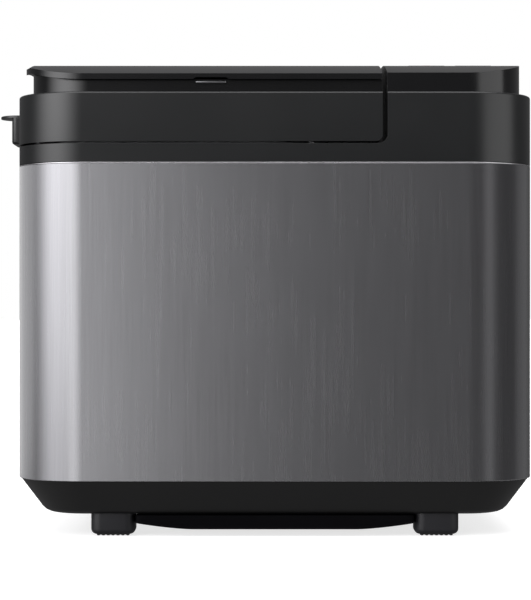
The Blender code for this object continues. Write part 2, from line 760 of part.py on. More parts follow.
def pan_handle(pan):
    """The wire bail, folded down to the right."""
    body = empty("pan_handle_swing", (CHAMBER_X, 0, 0.202), pan)
    eye_y, reach, bend = 0.0992, 0.079, 0.014
    tip = CHAMBER_X + reach
    arm = [(CHAMBER_X + 0.0040, -eye_y)] + arc(tip - bend, bend - eye_y, bend, -90, 0, 5)
    arm += arc(tip - bend, eye_y - bend, bend, 0, 90, 5) + [(CHAMBER_X + 0.0040, eye_y)]
    bail = wire("pan_handle", [(x, y, 0.202) for x, y in arm], 0.0018)
    for side in (-1, 1):
        start, end = (CHAMBER_X, side * 0.0975, 0.202), (CHAMBER_X, side * 0.1009, 0.202)
        before, after = (CHAMBER_X, side * 0.09, 0.202), (CHAMBER_X, side * 0.11, 0.202)
        eye = cut(cylinder("eye", 0.0056, start, end, 16), cylinder("eye_hole", 0.0029, before, after, 12))
        join(bail, eye)
    finish(bail, body, "steel")


def kneading_set(pan):
    body = empty("blade_spin", (CHAMBER_X, 0, 0.1), pan)
    centre = (CHAMBER_X, 0)
    shaft = cylinder("pan_shaft", SHAFT_R, (*centre, 0.0780), (*centre, 0.1160), 16)
    finish(shaft, body, "steel")
    coupling = ring("pan_coupling", SHAFT_R + GAP, 0.0145, 0.0830, 0.0870, centre, 20)
    join(coupling, dogs("pan_dogs", 3, 60, 0.0772, 0.0840))
    finish(coupling, body, "steel")
    hub = ring("kneading_blade", SHAFT_R + GAP, 0.0095, 0.0985, 0.1200, centre, 20)
    lower = [(0.006, 0.0995), (0.044, 0.0975), (0.050, 0.1010)]
    wing = lower + [(0.046, 0.1180), (0.030, 0.1240), (0.006, 0.1190)]
    blade = slab("wing", [[(CHAMBER_X + x, z) for x, z in wing]], -0.0022, 0.0022, "Y")
    heel = box("heel", (CHAMBER_X - 0.022, -0.003, 0.0990), (CHAMBER_X - 0.006, 0.003, 0.1100))
    join(hub, blade, heel)
    finish(hub, body, "coated_pan")


# ---------------------------------------------------------------- lid
def tier_plan(inset, flat_x=LID_END_X):
    return end_outline(flat_x, inset - BODY_X, BODY_Y - inset, BODY_R - inset * 0.6)


def end_cutter(name, corner):
    """Everything beyond the lid's right end, with its lower corner rounded, as seen from the front."""
    curve = arc(LID_END_X - corner, LID_Z + corner, corner, 270, 360, 4)
    side = [(LID_END_X - corner, 0.28), *curve, (LID_END_X, 0.40), (0.12, 0.40), (0.12, 0.28)]
    return slab(name, [side], -0.14, 0.14, "Y")


def lid_shell(body):
    band = end_outline(0.09, -BODY_X, BODY_Y, BODY_R)
    shell = slab("lid_shell", [band], LID_Z, LEDGE_Z)
    join(shell, slab("tier", [tier_plan(TIER_INSET, 0.09)], 0.325, 0.375))
    cut(shell, above_roof(COVER_THICK + COVER_GAP), end_cutter("end", 0.007))
    inside = end_outline(LID_END_X - WALL, WALL - BODY_X, BODY_Y - WALL, BODY_R - WALL)
    cut(shell, slab("band_cavity", [inside], 0.28, LEDGE_Z - WALL))
    upper = slab("tier_cavity", [tier_plan(TIER_INSET + WALL, LID_END_X - WALL - 0.0002)], 0.32, 0.375)
    cut(shell, cut(upper, above_roof(COVER_THICK + COVER_GAP + WALL)))
    for side in (-1, 1):
        y = side * HINGE_POST_Y
        for step in (-1, 1):
            low = y + step * 0.0072 - 0.0020
            join(shell, box("lug", (0.056, low, 0.3425), (0.072, low + 0.004, 0.3545)))
        cut(shell, box("post_slot", (0.052, y - 0.0052, 0.285), (0.09, y + 0.0052, 0.358)))
        start, end = (LID_AXIS[0], y - 0.0100, LID_AXIS[1]), (LID_AXIS[0], y + 0.0100, LID_AXIS[1])
        cut(shell, cylinder("pin_bore", BORE_R, start, end, 12))
    (x0, y0), (x1, y1) = NUT_BOX
    cut(shell, box("nut_opening", (x0 - GAP, y0 - GAP, 0.33), (x1 + GAP, y1 + GAP, 0.37)))
    cut(shell, cylinder("yeast_opening", YEAST_R + GAP, (YEAST_X, 0, 0.33), (YEAST_X, 0, 0.37)))
    cut(shell, box("steam_opening", (-0.160, 0.0547, 0.33), (-0.1197, 0.0753, 0.37)))
    for x in (-0.135, 0.035):
        for step in (-1, 1):
            near, far = (x + step * 0.0105, *COVER_AXIS), (x + step * 0.0165, *COVER_AXIS)
            knuckle = cylinder("knuckle", 0.003, near, far, 12)
            low = x + min(step * 0.0105, step * 0.0165)
            web = box("web", (low, 0.1140, 0.3350), (low + 0.006, COVER_AXIS[0], COVER_AXIS[1] + 0.001))
            join(shell, knuckle, web)
        cut(shell, cylinder("cover_bore", 0.0015, (x - 0.02, *COVER_AXIS), (x + 0.02, *COVER_AXIS), 10))
    return finish(shell, body, "black_plastic")


def lid_handle(body):
    """A finger lip on the lid's left end: a root block with a thin rounded flange above it."""
    left = -BODY_X
    root = slab("lid_handle", [outline(0.0077, 0.020, 0.003, left - GAP - 0.0077, 0, 3)], 0.3020, 0.3230)
    flange = outline(HANDLE_REACH / 2 - 0.0002, 0.022, 0.009, left - GAP - HANDLE_REACH / 2 + 0.0002, 0, 4)
    join(root, slab("flange", [flange], 0.3222, 0.3252))
    return finish(root, body, "black_plastic")


def lid_inner_cover(body):
    half_x, middle = 0.113, -0.072
    plate = slab("lid_inner_cover", [outline(half_x, 0.1195, 0.040, middle)], 0.2975, 0.2987)
    (x0, y0), (x1, y1) = NUT_BOX
    cut(plate, box("flap_opening", (x0, y0, 0.29), (x1, y1, 0.31)))
    cut(plate, cylinder("yeast_hole", YEAST_R + 0.001, (YEAST_X, 0, 0.29), (YEAST_X, 0, 0.31)))
    cut(plate, slots("steam_holes", (-0.140, 0.065), (0.003, 0.018), 0.007, 5, 0.29, 0.31))
    return finish(plate, body, "steel")


def lid_gasket(body):
    loops = [outline(0.0965, 0.1125, 0.0345, CHAMBER_X), outline(0.092, 0.108, 0.030, CHAMBER_X)]
    return finish(slab("lid_gasket", loops, 0.2916, 0.2972), body, "silicone")


def hinge_parts(body):
    """A bracket with two posts on the deck, and the pin that the lid turns on."""
    x, z = LID_AXIS
    bracket = box("hinge_bracket", (x - 0.016, -0.041, 0.2913), (x + 0.009, 0.041, 0.2940))
    for side in (-1, 1):
        y = side * HINGE_POST_Y
        head = arc(x - 0.0005, z, 0.0045, 0, 90, 3)
        shape = [(x - 0.009, 0.2935), (x + 0.004, 0.2935), *head, (x - 0.005, z + 0.0045), (x - 0.009, z)]
        join(bracket, slab("post", [shape], y - 0.004, y + 0.004, "Y"))
    cut(bracket, cylinder("bore", BORE_R, (x, -0.05, z), (x, 0.05, z), 12))
    finish(bracket, MACHINE, "steel")
    pin = cylinder("lid_hinge_pin", PIN_R, (x, -0.0398, z), (x, 0.0398, z), 12)
    finish(pin, body, "steel")


def dispensers(body):
    (x0, y0), (x1, y1) = NUT_BOX
    nut_box = box("nut_dispenser", (x0, y0, 0.3025), (x1, y1, 0.3500))
    cut(nut_box, box("inside", (x0 + 0.0018, y0 + 0.0018, 0.29), (x1 - 0.0018, y1 - 0.0018, 0.36)))
    x, z = FLAP_AXIS
    cut(nut_box, cylinder("trunnion_hole", 0.0017, (x, y0 - 0.01, z), (x, y1 + 0.01, z), 10))
    finish(nut_box, body, "white_nylon")
    cup = ring("yeast_cup", YEAST_R - 0.0016, YEAST_R, 0.3030, 0.3500, (YEAST_X, 0), 20)
    finish(cup, body, "white_nylon")
    duct = box("steam_duct", (-0.1597, 0.0550, 0.2990), (-0.1200, 0.0750, 0.3490))
    cut(duct, box("inside", (-0.1585, 0.0562, 0.28), (-0.1212, 0.0738, 0.36)))
    finish(duct, body, "silicone")
    solenoid = box("flap_solenoid", (0.010, -0.016, 0.2992), (0.040, 0.006, 0.3190))
    cut(solenoid, box("bore", (0.000, -0.0094, 0.2985), (0.024, -0.0006, 0.3026)))
    finish(solenoid, body, "dark_steel")
    flap_body = empty("flap_hinge", (x, 0, z), body)
    flap = box("dispenser_flap", (x0 + 0.0026, y0 + 0.0022, 0.3028), (x1 - 0.0022, y1 - 0.0022, 0.3042))
    join(flap, cylinder("trunnion", 0.0013, (x, y0 + 0.0002, z), (x, y1 - 0.0002, z), 10))
    finish(flap, flap_body, "white_nylon")
    latch_body = empty("latch_slide", (0, -0.005, 0.3007), body)
    latch = box("flap_latch", (-0.0156, -0.009, 0.2992), (0.017, -0.001, 0.3022))
    finish(latch, latch_body, "steel")
    valve_body = empty("valve_slide", (YEAST_X, 0, 0.302), body)
    valve = cylinder("yeast_valve", 0.0118, (YEAST_X, 0, 0.3035), (YEAST_X, 0, 0.3050), 20)
    join(valve, cylinder("stem", 0.0018, (YEAST_X, 0, 0.3045), (YEAST_X, 0, 0.325), 10))
    finish(valve, valve_body, "silicone")


def dispenser_lid(lid):
    body = empty("cover_hinge", (0, *COVER_AXIS), lid)
    plan = end_outline(0.09, COVER_INSET - BODY_X, ROOF_Y, 0.047)
    cover = slab("dispenser_lid", [plan], 0.333, 0.375)
    cut(cover, above_roof(0), below_roof(COVER_THICK))
    inner = LID_END_X - 0.0035
    chamfer = [(LID_END_X, 0.30), (LID_END_X, 0.3588), (inner, 0.3625), (inner, 0.38)]
    cut(cover, slab("cover_end", [chamfer + [(0.12, 0.38), (0.12, 0.30)]], -0.14, 0.14, "Y"))
    cut(cover, box("finger_notch", (-0.0611, -0.130, 0.3300), (-0.0345, -0.1120, 0.3440)))
    cut(cover, slots("steam_slots", (-0.140, 0.065), (0.003, 0.018), 0.007, 5, 0.34, 0.38))
    for x in (-0.135, 0.035):
        barrel = cylinder("barrel", 0.003, (x - 0.0098, *COVER_AXIS), (x + 0.0098, *COVER_AXIS), 12)
        pin = cylinder("pin", 0.0012, (x - 0.0160, *COVER_AXIS), (x + 0.0160, *COVER_AXIS), 10)
        web = box("web", (x - 0.0098, 0.1173, COVER_AXIS[1]), (x + 0.0098, 0.1202, 0.3432))
        join(cover, barrel, web, pin)
    return finish(cover, body, "black_plastic")


# ---------------------------------------------------------------- assembly
def build():
    base_tray()
    foot_pads()
    bottom_cover()
    chassis_plate()
    body_shell()
    cord_gland()
    upper_housing()
    control_panel()
    display_window()
    buttons()
    control_board()
    chamber_liner()
    heating_element()
    pan_socket()
    sensor_housing()
    temperature_sensor()
    heat_shield()
    bearing_housing()
    shaft_bush()
    drive_train()
    motor()
    drive_belt()
    electrics()
    pan = empty("pan_lift", (CHAMBER_X, 0, PAN_BASE_Z), MACHINE)
    bread_pan(pan)
    pan_handle(pan)
    kneading_set(pan)
    lid = empty("lid_hinge", (LID_AXIS[0], 0, LID_AXIS[1]), MACHINE)
    lid_shell(lid)
    lid_handle(lid)
    lid_inner_cover(lid)
    lid_gasket(lid)
    hinge_parts(lid)
    dispensers(lid)
    dispenser_lid(lid)


build()
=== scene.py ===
# %% [markdown]
# # A bread machine
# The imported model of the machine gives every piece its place. This lesson adds what the eye sees: rounded
# edges, brushed steel, moulded plastic, printed icons and the baking parts inside. The first cell loads the
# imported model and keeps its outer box, which nothing may outgrow.

import math

import bmesh
import bpy
from mathutils import Matrix, Quaternion, Vector


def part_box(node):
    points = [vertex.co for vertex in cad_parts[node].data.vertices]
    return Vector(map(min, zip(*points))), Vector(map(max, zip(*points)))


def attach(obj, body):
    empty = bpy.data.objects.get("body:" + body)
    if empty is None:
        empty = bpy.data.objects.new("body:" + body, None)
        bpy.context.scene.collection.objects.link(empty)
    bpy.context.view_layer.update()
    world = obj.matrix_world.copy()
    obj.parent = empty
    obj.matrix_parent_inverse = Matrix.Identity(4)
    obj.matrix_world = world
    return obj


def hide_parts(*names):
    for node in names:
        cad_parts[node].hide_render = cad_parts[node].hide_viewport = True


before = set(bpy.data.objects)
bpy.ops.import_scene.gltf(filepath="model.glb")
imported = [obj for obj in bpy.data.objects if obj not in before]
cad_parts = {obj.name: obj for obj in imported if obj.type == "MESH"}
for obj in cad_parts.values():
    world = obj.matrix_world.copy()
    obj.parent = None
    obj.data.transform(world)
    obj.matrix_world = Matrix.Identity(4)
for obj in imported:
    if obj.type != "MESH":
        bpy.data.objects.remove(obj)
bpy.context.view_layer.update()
wrap_low, wrap_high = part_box("body_shell")
MIDDLE_X = (wrap_low[0] + wrap_high[0]) / 2
HALF_X = (wrap_high[0] - wrap_low[0]) / 2
HALF_Y = wrap_high[1]
print("middle of the body", round(MIDDLE_X, 5), "half sides", round(HALF_X, 4), round(HALF_Y, 4))

# %% [markdown]
# ## The camera
# The machine is seen square on, at about half its height and from about one and a half metres, so that the
# undersides of its ledges and the crown of its roof both show. A small shift lifts the frame without
# tilting the camera, which keeps the upright edges upright.

# %% Camera
camera_data = bpy.data.cameras.new("camera")
camera_data.lens = 126.35
camera_data.shift_y = 11.3 / 600
camera = bpy.data.objects.new("camera", camera_data)
bpy.context.scene.collection.objects.link(camera)
camera.location = (0.0052, -1.69, 0.1695)
camera.rotation_euler = (math.radians(90), 0, 0)
bpy.context.scene.camera = camera
bpy.context.scene.view_settings.view_transform = "Standard"
print("lens", camera_data.lens)

# %% [markdown]
# ## Floor and light
# A product studio has a pale floor and soft panels. Brushed steel shows what stands round it, so the
# surroundings decide how it looks. A world whose brightness depends on direction is the easiest to tune:
# each soft panel is a patch of sky with blurred edges, and a patch is a product of two smooth steps, one
# round the compass and one up and down.

# %% Floor
floor_mesh = bmesh.new()
bmesh.ops.create_grid(floor_mesh, x_segments=1, y_segments=1, size=40)
floor_data = bpy.data.meshes.new("floor")
floor_mesh.to_mesh(floor_data)
floor_mesh.free()
floor = bpy.data.objects.new("floor", floor_data)
bpy.context.scene.collection.objects.link(floor)
floor.location.z = -0.0003
paint = bpy.data.materials.new("pale_floor")
paint.use_nodes = True
paint_shader = paint.node_tree.nodes["Principled BSDF"]
paint_shader.inputs["Base Color"].default_value = (0.6, 0.6, 0.6, 1)
paint_shader.inputs["Roughness"].default_value = 0.9
paint_shader.inputs["Specular IOR Level"].default_value = 0.0
paint_shader.inputs["Emission Color"].default_value = (1, 1, 1, 1)
paint_shader.inputs["Emission Strength"].default_value = 0.74
floor.visible_glossy = False
floor.visible_diffuse = False
floor.visible_shadow = False
floor_data.materials.append(paint)
print("floor", floor.dimensions[:])

# %% [markdown]
# ## A small language for materials
# A procedural material is arithmetic on numbers that change over the surface. Wiring each sum by hand hides
# the idea, so one class wraps a socket and turns Python's own operators into Math nodes. Everything that
# isn't a sum comes from one method, which takes a node's type, its settings and its inputs.


# %% Signals
class Signal:
    """A shader socket that can be used in sums: 1 - mask adds a Math node."""

    def __init__(self, tree, socket):
        self.tree = tree
        self.socket = socket

    def node(self, kind, settings=None, inputs=None, output=0):
        made = self.tree.nodes.new(kind)
        for key, value in (settings or {}).items():
            setattr(made, key, value)
        for key, value in (inputs or {}).items():
            if isinstance(value, Signal):
                self.tree.links.new(value.socket, made.inputs[key])
            else:
                made.inputs[key].default_value = value
        return Signal(self.tree, made.outputs[output])

    def math(self, operation, *values, clamp=False):
        return self.node(
            "ShaderNodeMath", {"operation": operation, "use_clamp": clamp}, dict(enumerate(values))
        )

    def __add__(self, other):
        return self.math("ADD", self, other)

    def __radd__(self, other):
        return self.math("ADD", other, self)

    def __sub__(self, other):
        return self.math("SUBTRACT", self, other)

    def __rsub__(self, other):
        return self.math("SUBTRACT", other, self)

    def __mul__(self, other):
        return self.math("MULTIPLY", self, other)

    def __rmul__(self, other):
        return self.math("MULTIPLY", other, self)

    def __truediv__(self, other):
        return self.math("DIVIDE", self, other)

    def __rtruediv__(self, other):
        return self.math("DIVIDE", other, self)

    def __pow__(self, other):
        return self.math("POWER", self, other)

    def step(self, low, high):
        """0 below low, 1 above high and smooth between them."""
        settings = {"interpolation_type": "SMOOTHSTEP"}
        return self.node("ShaderNodeMapRange", settings, {"Value": self, "From Min": low, "From Max": high})

    def blend(self, first, second):
        """The first colour where this is 0 and the second where it is 1."""
        inputs = {0: self, 6: first, 7: second}
        return self.node("ShaderNodeMix", {"data_type": "RGBA"}, inputs, output=2)


print("signals ready")


# %% [markdown]
# ## The studio
# Directions come as a unit vector, from which two angles follow: the compass angle, which is 0 in front of
# the machine and grows to its left, and the height. The broad panel at the left is brightest high up. A weaker
# panel stands at the right, and another hangs overhead.

# %% Studio
world = bpy.data.worlds.new("studio")
bpy.context.scene.world = world
world.use_nodes = True
sky = world.node_tree
sky.nodes.clear()
direction = Signal(sky, sky.nodes.new("ShaderNodeTexCoord").outputs["Generated"])
toward = [direction.node("ShaderNodeSeparateXYZ", None, {0: direction}, output=n) for n in range(3)]
compass = direction.math("ARCTAN2", -1 * toward[0], -1 * toward[1]) * (180 / math.pi)
height = direction.math("ARCSINE", toward[2]) * (180 / math.pi)


def patch(left_from, left_to, right_from, right_to, low_from, low_to, high_from, high_to, lean=0.0):
    """A soft-edged patch of sky; the angles are where each edge starts and ends, in degrees."""
    turned = compass + lean * height
    across = turned.step(right_from, right_to) * (1 - compass.step(left_from, left_to))
    return across * height.step(low_from, low_to) * (1 - height.step(high_from, high_to))


left_panel = patch(54, 100, 4, 46, -16, 10, 36, 54)
rear_glow = (compass * compass).step(90**2, 130**2) * height.step(2, 20)
overhead = height.step(52, 64)
front_strip = patch(70, 90, -90, -70, 50, 56, 72, 80)
below = 1 - height.step(-20, -6)
brightness = 0.14 + 4.9 * left_panel + 0.08 * rear_glow + 1.2 * overhead + 4.0 * front_strip + 0.05 * below
room = direction.node("ShaderNodeBackground", None, {"Color": (1.0, 0.995, 1.01, 1), "Strength": brightness})
backdrop = direction.node("ShaderNodeBackground", None, {"Color": (1, 1, 1, 1)})
seen = direction.node("ShaderNodeLightPath", output=0)
studio_mix = direction.node("ShaderNodeMixShader", None, {0: seen, 1: room, 2: backdrop})
sky.links.new(studio_mix.socket, sky.nodes.new("ShaderNodeOutputWorld").inputs["Surface"])
print("studio nodes", len(sky.nodes))


# %% Linked panels
def panel_light(name, place, target, width, height, radiance, turn=0.0):
    """A soft rectangular light that faces a point, with the brightness of its face."""
    data = bpy.data.lights.new(name, "AREA")
    data.shape = "RECTANGLE"
    data.size, data.size_y = width, height
    data.energy = radiance * math.pi * width * height
    lamp = bpy.data.objects.new(name, data)
    bpy.context.scene.collection.objects.link(lamp)
    lamp.location = place
    aim = (Vector(target) - Vector(place)).to_track_quat("-Z", "Y")
    lamp.rotation_euler = (aim @ Quaternion((0, 0, 1), math.radians(turn))).to_euler()
    lamp.visible_camera = False
    return lamp


def around(angle, distance, height):
    """A place at a compass angle in degrees, left of the front."""
    return (-distance * math.sin(math.radians(angle)), -distance * math.cos(math.radians(angle)), height)


steel_panels = [
    panel_light("steel_left_panel", around(24, 1.55, 0.50), (-0.15, 0, 0.16), 0.46, 1.6, 2.5, 9),
    panel_light("steel_soft_edge", around(12.5, 1.5, 0.50), (-0.15, 0, 0.16), 0.20, 1.6, 0.75, 5),
    panel_light("steel_side_panel", around(122, 1.5, 0.5), (-0.19, 0, 0.16), 1.9, 1.3, 1.2),
    panel_light("steel_right_strip", around(-44, 1.5, 0.4), (0.17, 0, 0.16), 0.34, 1.5, 0.48),
    panel_light("steel_far_strip", around(-112, 1.5, 0.4), (0.19, 0, 0.16), 1.0, 1.5, 0.20),
] + [
    panel_light(f"steel_low_panel_{turn}", around(turn, 1.5, -1.0), (0, 0, 0.16), 1.9, 0.9, 0.95)
    for turn in (0, 90, 180, 270)
]
plastic_panels = [panel_light("right_panel", around(-60, 1.5, 0.45), (0.17, 0, 0.25), 1.35, 1.1, 1.6)]
print("panels", len(steel_panels) + len(plastic_panels))

# %% Finishes
class Finish:
    """A material whose textures read the object's own coordinates, in metres."""

    def __init__(self, name, colour, roughness, metallic=0.0, **constants):
        self.material = bpy.data.materials.new(name)
        self.material.use_nodes = True
        self.tree = self.material.node_tree
        self.shader = self.tree.nodes["Principled BSDF"]
        self.shader.inputs["Base Color"].default_value = (*colour, 1)
        self.shader.inputs["Roughness"].default_value = roughness
        self.shader.inputs["Metallic"].default_value = metallic
        for key, value in constants.items():
            self.shader.inputs[key.replace("_", " ")].default_value = value
        start = self.tree.nodes.new("ShaderNodeTexCoord")
        self.at = Signal(self.tree, start.outputs["Object"])

    def set(self, socket, signal):
        self.tree.links.new(signal.socket, self.shader.inputs[socket])

    def stretched(self, x, y, z):
        """The object's coordinates times three numbers."""
        inputs = {0: self.at, 1: (x, y, z)}
        return self.at.node("ShaderNodeVectorMath", {"operation": "MULTIPLY"}, inputs)

    def noise(self, scale, detail=2.0, stretch=(1, 1, 1)):
        """Noise of 0 to 1, whose cells are 1 / scale metres across."""
        inputs = {"Vector": self.stretched(*stretch), "Scale": scale, "Detail": detail}
        return self.at.node("ShaderNodeTexNoise", None, inputs)

    def axis(self, letter):
        """One of the object's coordinates."""
        return self.at.node("ShaderNodeSeparateXYZ", None, {0: self.at}, output="XYZ".index(letter))

    def bump(self, height, depth):
        """Raises the surface by up to depth metres."""
        inputs = {"Height": height, "Distance": depth, "Strength": 1.0}
        self.set("Normal", self.at.node("ShaderNodeBump", None, inputs))


print("finishes ready")

# %% [markdown]
# ## Brushed dark steel
# The wrap is rolled from sheet whose grain runs upright. Under a lens it is thousands of fine scratches of
# different lengths, so noise is squeezed hard across the grain and left long beside it. Two sizes of
# scratch and a slow mottling keep it from looking printed.

# %% Steel of the wrap
wrap_steel = Finish("brushed_wrap", (0.21, 0.2085, 0.217), 0.28, 1.0, Anisotropic=0.5)
fine = wrap_steel.noise(1400, 2.0, (1, 1, 0.012))
broad = wrap_steel.noise(260, 3.0, (1, 1, 0.03))
mottle = wrap_steel.noise(9, 3.0)
grain = 0.6 * fine + 0.4 * broad
tone = (grain - 0.3) * 1.7
wrap_steel.set("Base Color", tone.blend((0.197, 0.196, 0.204, 1), (0.232, 0.231, 0.241, 1)))
wrap_steel.set("Roughness", 0.22 + 0.06 * grain + 0.03 * mottle)
wrap_steel.bump(grain, 0.000003)
print("made", wrap_steel.material.name)

# The hem's base colour is far brighter than the wrap's steel: a painted highlight along the wrap's top edge.
hem_painted_highlight = Finish("hem_painted_highlight", (0.60, 0.59, 0.61), 0.26, 1.0)
hem_painted_highlight.set("Roughness", 0.22 + 0.12 * hem_painted_highlight.noise(260, 3.0, (0.05, 1, 1)))
hem_painted_highlight.bump(hem_painted_highlight.noise(500, 2.0, (0.05, 1, 1)), 0.000003)

# %% [markdown]
# ## Moulded plastics
# Satin black mouldings carry a fine spark-eroded grain from the tool. The roof and the wall under it are
# polished, while the base is duller and catches dust. The roof's black is painted lighter, as painted light on
# the faces that look up. The wall's black is painted darker, partly for its real gloss and partly as painted
# shade. One function makes them all, because only their numbers differ.


# %% Plastics
def moulded(name, colour, roughness, grain_depth, dust=0.0, **constants):
    """Moulded plastic with tool grain, slow gloss changes and a little dust."""
    made = Finish(name, colour, roughness, **constants)
    pores = made.noise(2600, 1.0)
    cloud = made.noise(14, 3.0)
    specks = made.noise(420, 2.0).step(0.66, 0.78)
    pale = tuple(c + 0.018 for c in colour) + (1,)
    made.set("Base Color", (specks * dust + cloud * 0.12).blend((*colour, 1), pale))
    made.set("Roughness", roughness - 0.04 + 0.08 * cloud + 0.12 * dust * specks)
    made.bump(pores, grain_depth)
    return made


satin_black = moulded("satin_black", (0.0052, 0.0057, 0.0061), 0.33, 0.000008, 0.2)
# The polished black is painted darker, as shade on the walls. The roof black is painted lighter, as light on
# the tops.
polished_painted_shade_black = moulded("polished_painted_shade_black", (0.0022, 0.0022, 0.0027), 0.22, 0.000002, 0.05)
roof_painted_light_black = moulded("roof_painted_light_black", (0.0125, 0.0125, 0.013), 0.30, 0.000006, 0.15)
base_black = moulded("base_black", (0.0082, 0.0082, 0.0082), 0.44, 0.000015, 0.3)
foot_black = moulded("foot_black", (0.0075, 0.0075, 0.010), 0.5, 0.00002, 0.4)
# The pan under the base is almost black with almost no gloss: painted shade for the shadow under the machine.
under_painted_shade_black = moulded("under_painted_shade_black", (0.0006, 0.0005, 0.0012), 0.7, 0.00002, 0.0, Specular_IOR_Level=0.05)
pad_rubber = moulded("pad_rubber", (0.012, 0.012, 0.012), 0.75, 0.00004, 0.8)
# A bright metal for the bar in the cover's scoop: a painted highlight for the light on the lid's edge.
rest_painted_highlight_metal = Finish("rest_painted_highlight_metal", (0.34, 0.34, 0.35), 0.3, 0.9)
rest_painted_highlight_metal.set("Roughness", 0.24 + 0.14 * rest_painted_highlight_metal.noise(700, 2.0, (0.1, 1, 1)))
rest_painted_highlight_metal.bump(rest_painted_highlight_metal.noise(900, 2.0, (0.1, 1, 1)), 0.000005)
print("made", len([m for m in bpy.data.materials if "black" in m.name]), "black plastics")

# %% [markdown]
# ## Making a piece
# Most pieces start as a block with rounded upright edges. Bevelling a cube's four upright edges gives a
# plan that is round at the corners, and bevelling only two of them gives the lid and the control block,
# which are cut square where they meet.


# %% Blocks
def block(low, high, radius, corners="both", steps=20, rim=0.0, rim_steps=4):
    """A box whose upright edges are rounded at the left end, the right end or both, and its top rim too."""
    low, high = Vector(low), Vector(high)
    work = bmesh.new()
    place = Matrix.Translation((low + high) / 2) @ Matrix.Diagonal((*(high - low), 1))
    bmesh.ops.create_cube(work, size=1, matrix=place)
    middle = (low.x + high.x) / 2
    upright = []
    for edge in work.edges:
        first, second = edge.verts
        side = "left" if first.co.x < middle else "right"
        if abs(first.co.z - second.co.z) > 1e-6 and corners in ("both", side):
            upright.append(edge)
    if upright and radius:
        bmesh.ops.bevel(
            work, geom=upright, offset=radius, segments=steps, affect="EDGES", profile=0.5, material=-1
        )
    if rim:
        top = [
            e for e in work.edges
            if all(abs(v.co.z - high.z) < 1e-6 for v in e.verts) and len(e.link_faces) == 2
        ]
        bmesh.ops.bevel(
            work, geom=top, offset=rim, segments=rim_steps, affect="EDGES", profile=0.5, material=-1
        )
    return work


def object_of(name, work):
    """Turns a bmesh into an object, with its normals pointing outwards."""
    bmesh.ops.recalc_face_normals(work, faces=work.faces)
    mesh = bpy.data.meshes.new(name)
    work.to_mesh(mesh)
    work.free()
    made = bpy.data.objects.new(name, mesh)
    bpy.context.scene.collection.objects.link(made)
    return made


print("a block has", len(block((-1, -1, 0), (1, 1, 1), 0.3).faces), "faces")


# %% Booleans that leave nothing behind
def carve(name, start, steps):
    """Applies a list of ("DIFFERENCE", bmesh) style steps to a bmesh and returns the result as a new bmesh."""
    target = object_of(name, start)
    helpers = []
    for operation, work in steps:
        helper = object_of("helper", work)
        change = target.modifiers.new(operation, "BOOLEAN")
        change.operation = operation
        change.solver = "EXACT"
        change.object = helper
        helpers.append(helper)
    bpy.context.view_layer.update()
    mesh = bpy.data.meshes.new_from_object(target.evaluated_get(bpy.context.evaluated_depsgraph_get()))
    result = bmesh.new()
    result.from_mesh(mesh)
    for helper in [target, *helpers]:
        old = helper.data
        bpy.data.objects.remove(helper)
        bpy.data.meshes.remove(old)
    bpy.data.meshes.remove(mesh)
    bmesh.ops.remove_doubles(result, verts=result.verts, dist=2e-6)
    bmesh.ops.dissolve_degenerate(result, edges=result.edges, dist=2e-6)
    return result


# %% Finished pieces
def piece(
    name, work, body, finish, stands_for=(), edge=0.0, edge_steps=3, wall=0.0, shift=True, sharp=32
):
    """Puts a bmesh in its place on a body of the machine, with a finish, an edge radius and a wall."""
    if shift:
        bmesh.ops.translate(work, verts=work.verts, vec=(MIDDLE_X, 0, 0))
    made = object_of(name, work)
    if wall:
        skin = made.modifiers.new("Wall", "SOLIDIFY")
        skin.thickness = wall
        skin.offset = -1
        skin.use_even_offset = True
    made.data.shade_smooth()
    if edge:
        soften = made.modifiers.new("Edges", "BEVEL")
        soften.width = edge
        soften.segments = edge_steps
        soften.limit_method = "ANGLE"
        soften.angle_limit = math.radians(sharp)
        soften.harden_normals = True
        soften.use_clamp_overlap = True
    else:
        made.data.set_sharp_from_angle(angle=math.radians(sharp))
    made.data.materials.append(finish.material)
    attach(made, body)
    if stands_for:
        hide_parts(*stands_for)
    print(name, "has", len(made.data.polygons), "faces")
    return made


def box_work(low, high):
    """A plain box as a bmesh."""
    return block(low, high, 0)


def bar_work(radius, start, end, sides=24):
    """A round bar between two points as a bmesh."""
    start, end = Vector(start), Vector(end)
    along = end - start
    place = Matrix.Translation((start + end) / 2) @ along.to_track_quat("Z", "Y").to_matrix().to_4x4()
    work = bmesh.new()
    bmesh.ops.create_cone(
        work, cap_ends=True, segments=sides, radius1=radius, radius2=radius, depth=along.length, matrix=place
    )
    return work


def gather(*works):
    """One bmesh that holds several."""
    whole = bmesh.new()
    for work in works:
        mesh = bpy.data.meshes.new("part")
        work.to_mesh(mesh)
        work.free()
        whole.from_mesh(mesh)
        bpy.data.meshes.remove(mesh)
    return whole


print("pieces can be made")

# %% [markdown]
# ## The steel wrap
# On the real machine this is one sheet, bent round the body and joined up the back with a folded seam. Its
# top and bottom edges are turned in. The top one is a slim ring of its own in a much brighter colour, a
# painted highlight for the thin bright line that the light draws along it. A block loses its two ends, gets a
# wall, and a fine bevel makes the turned edges.

# %% Wrap
WRAP_LOW, WRAP_HIGH = wrap_low[2], wrap_high[2]
CORNER = 0.052


def rear_slots():
    """The twelve vent slots in the back of the wrap."""
    slots = []
    for row in range(4):
        for column in range(3):
            left, low = 0.085 + column * 0.022, 0.200 + row * 0.012
            slots.append(block((left, 0.11, low), (left + 0.016, 0.14, low + 0.004), 0))
    return gather(*slots)


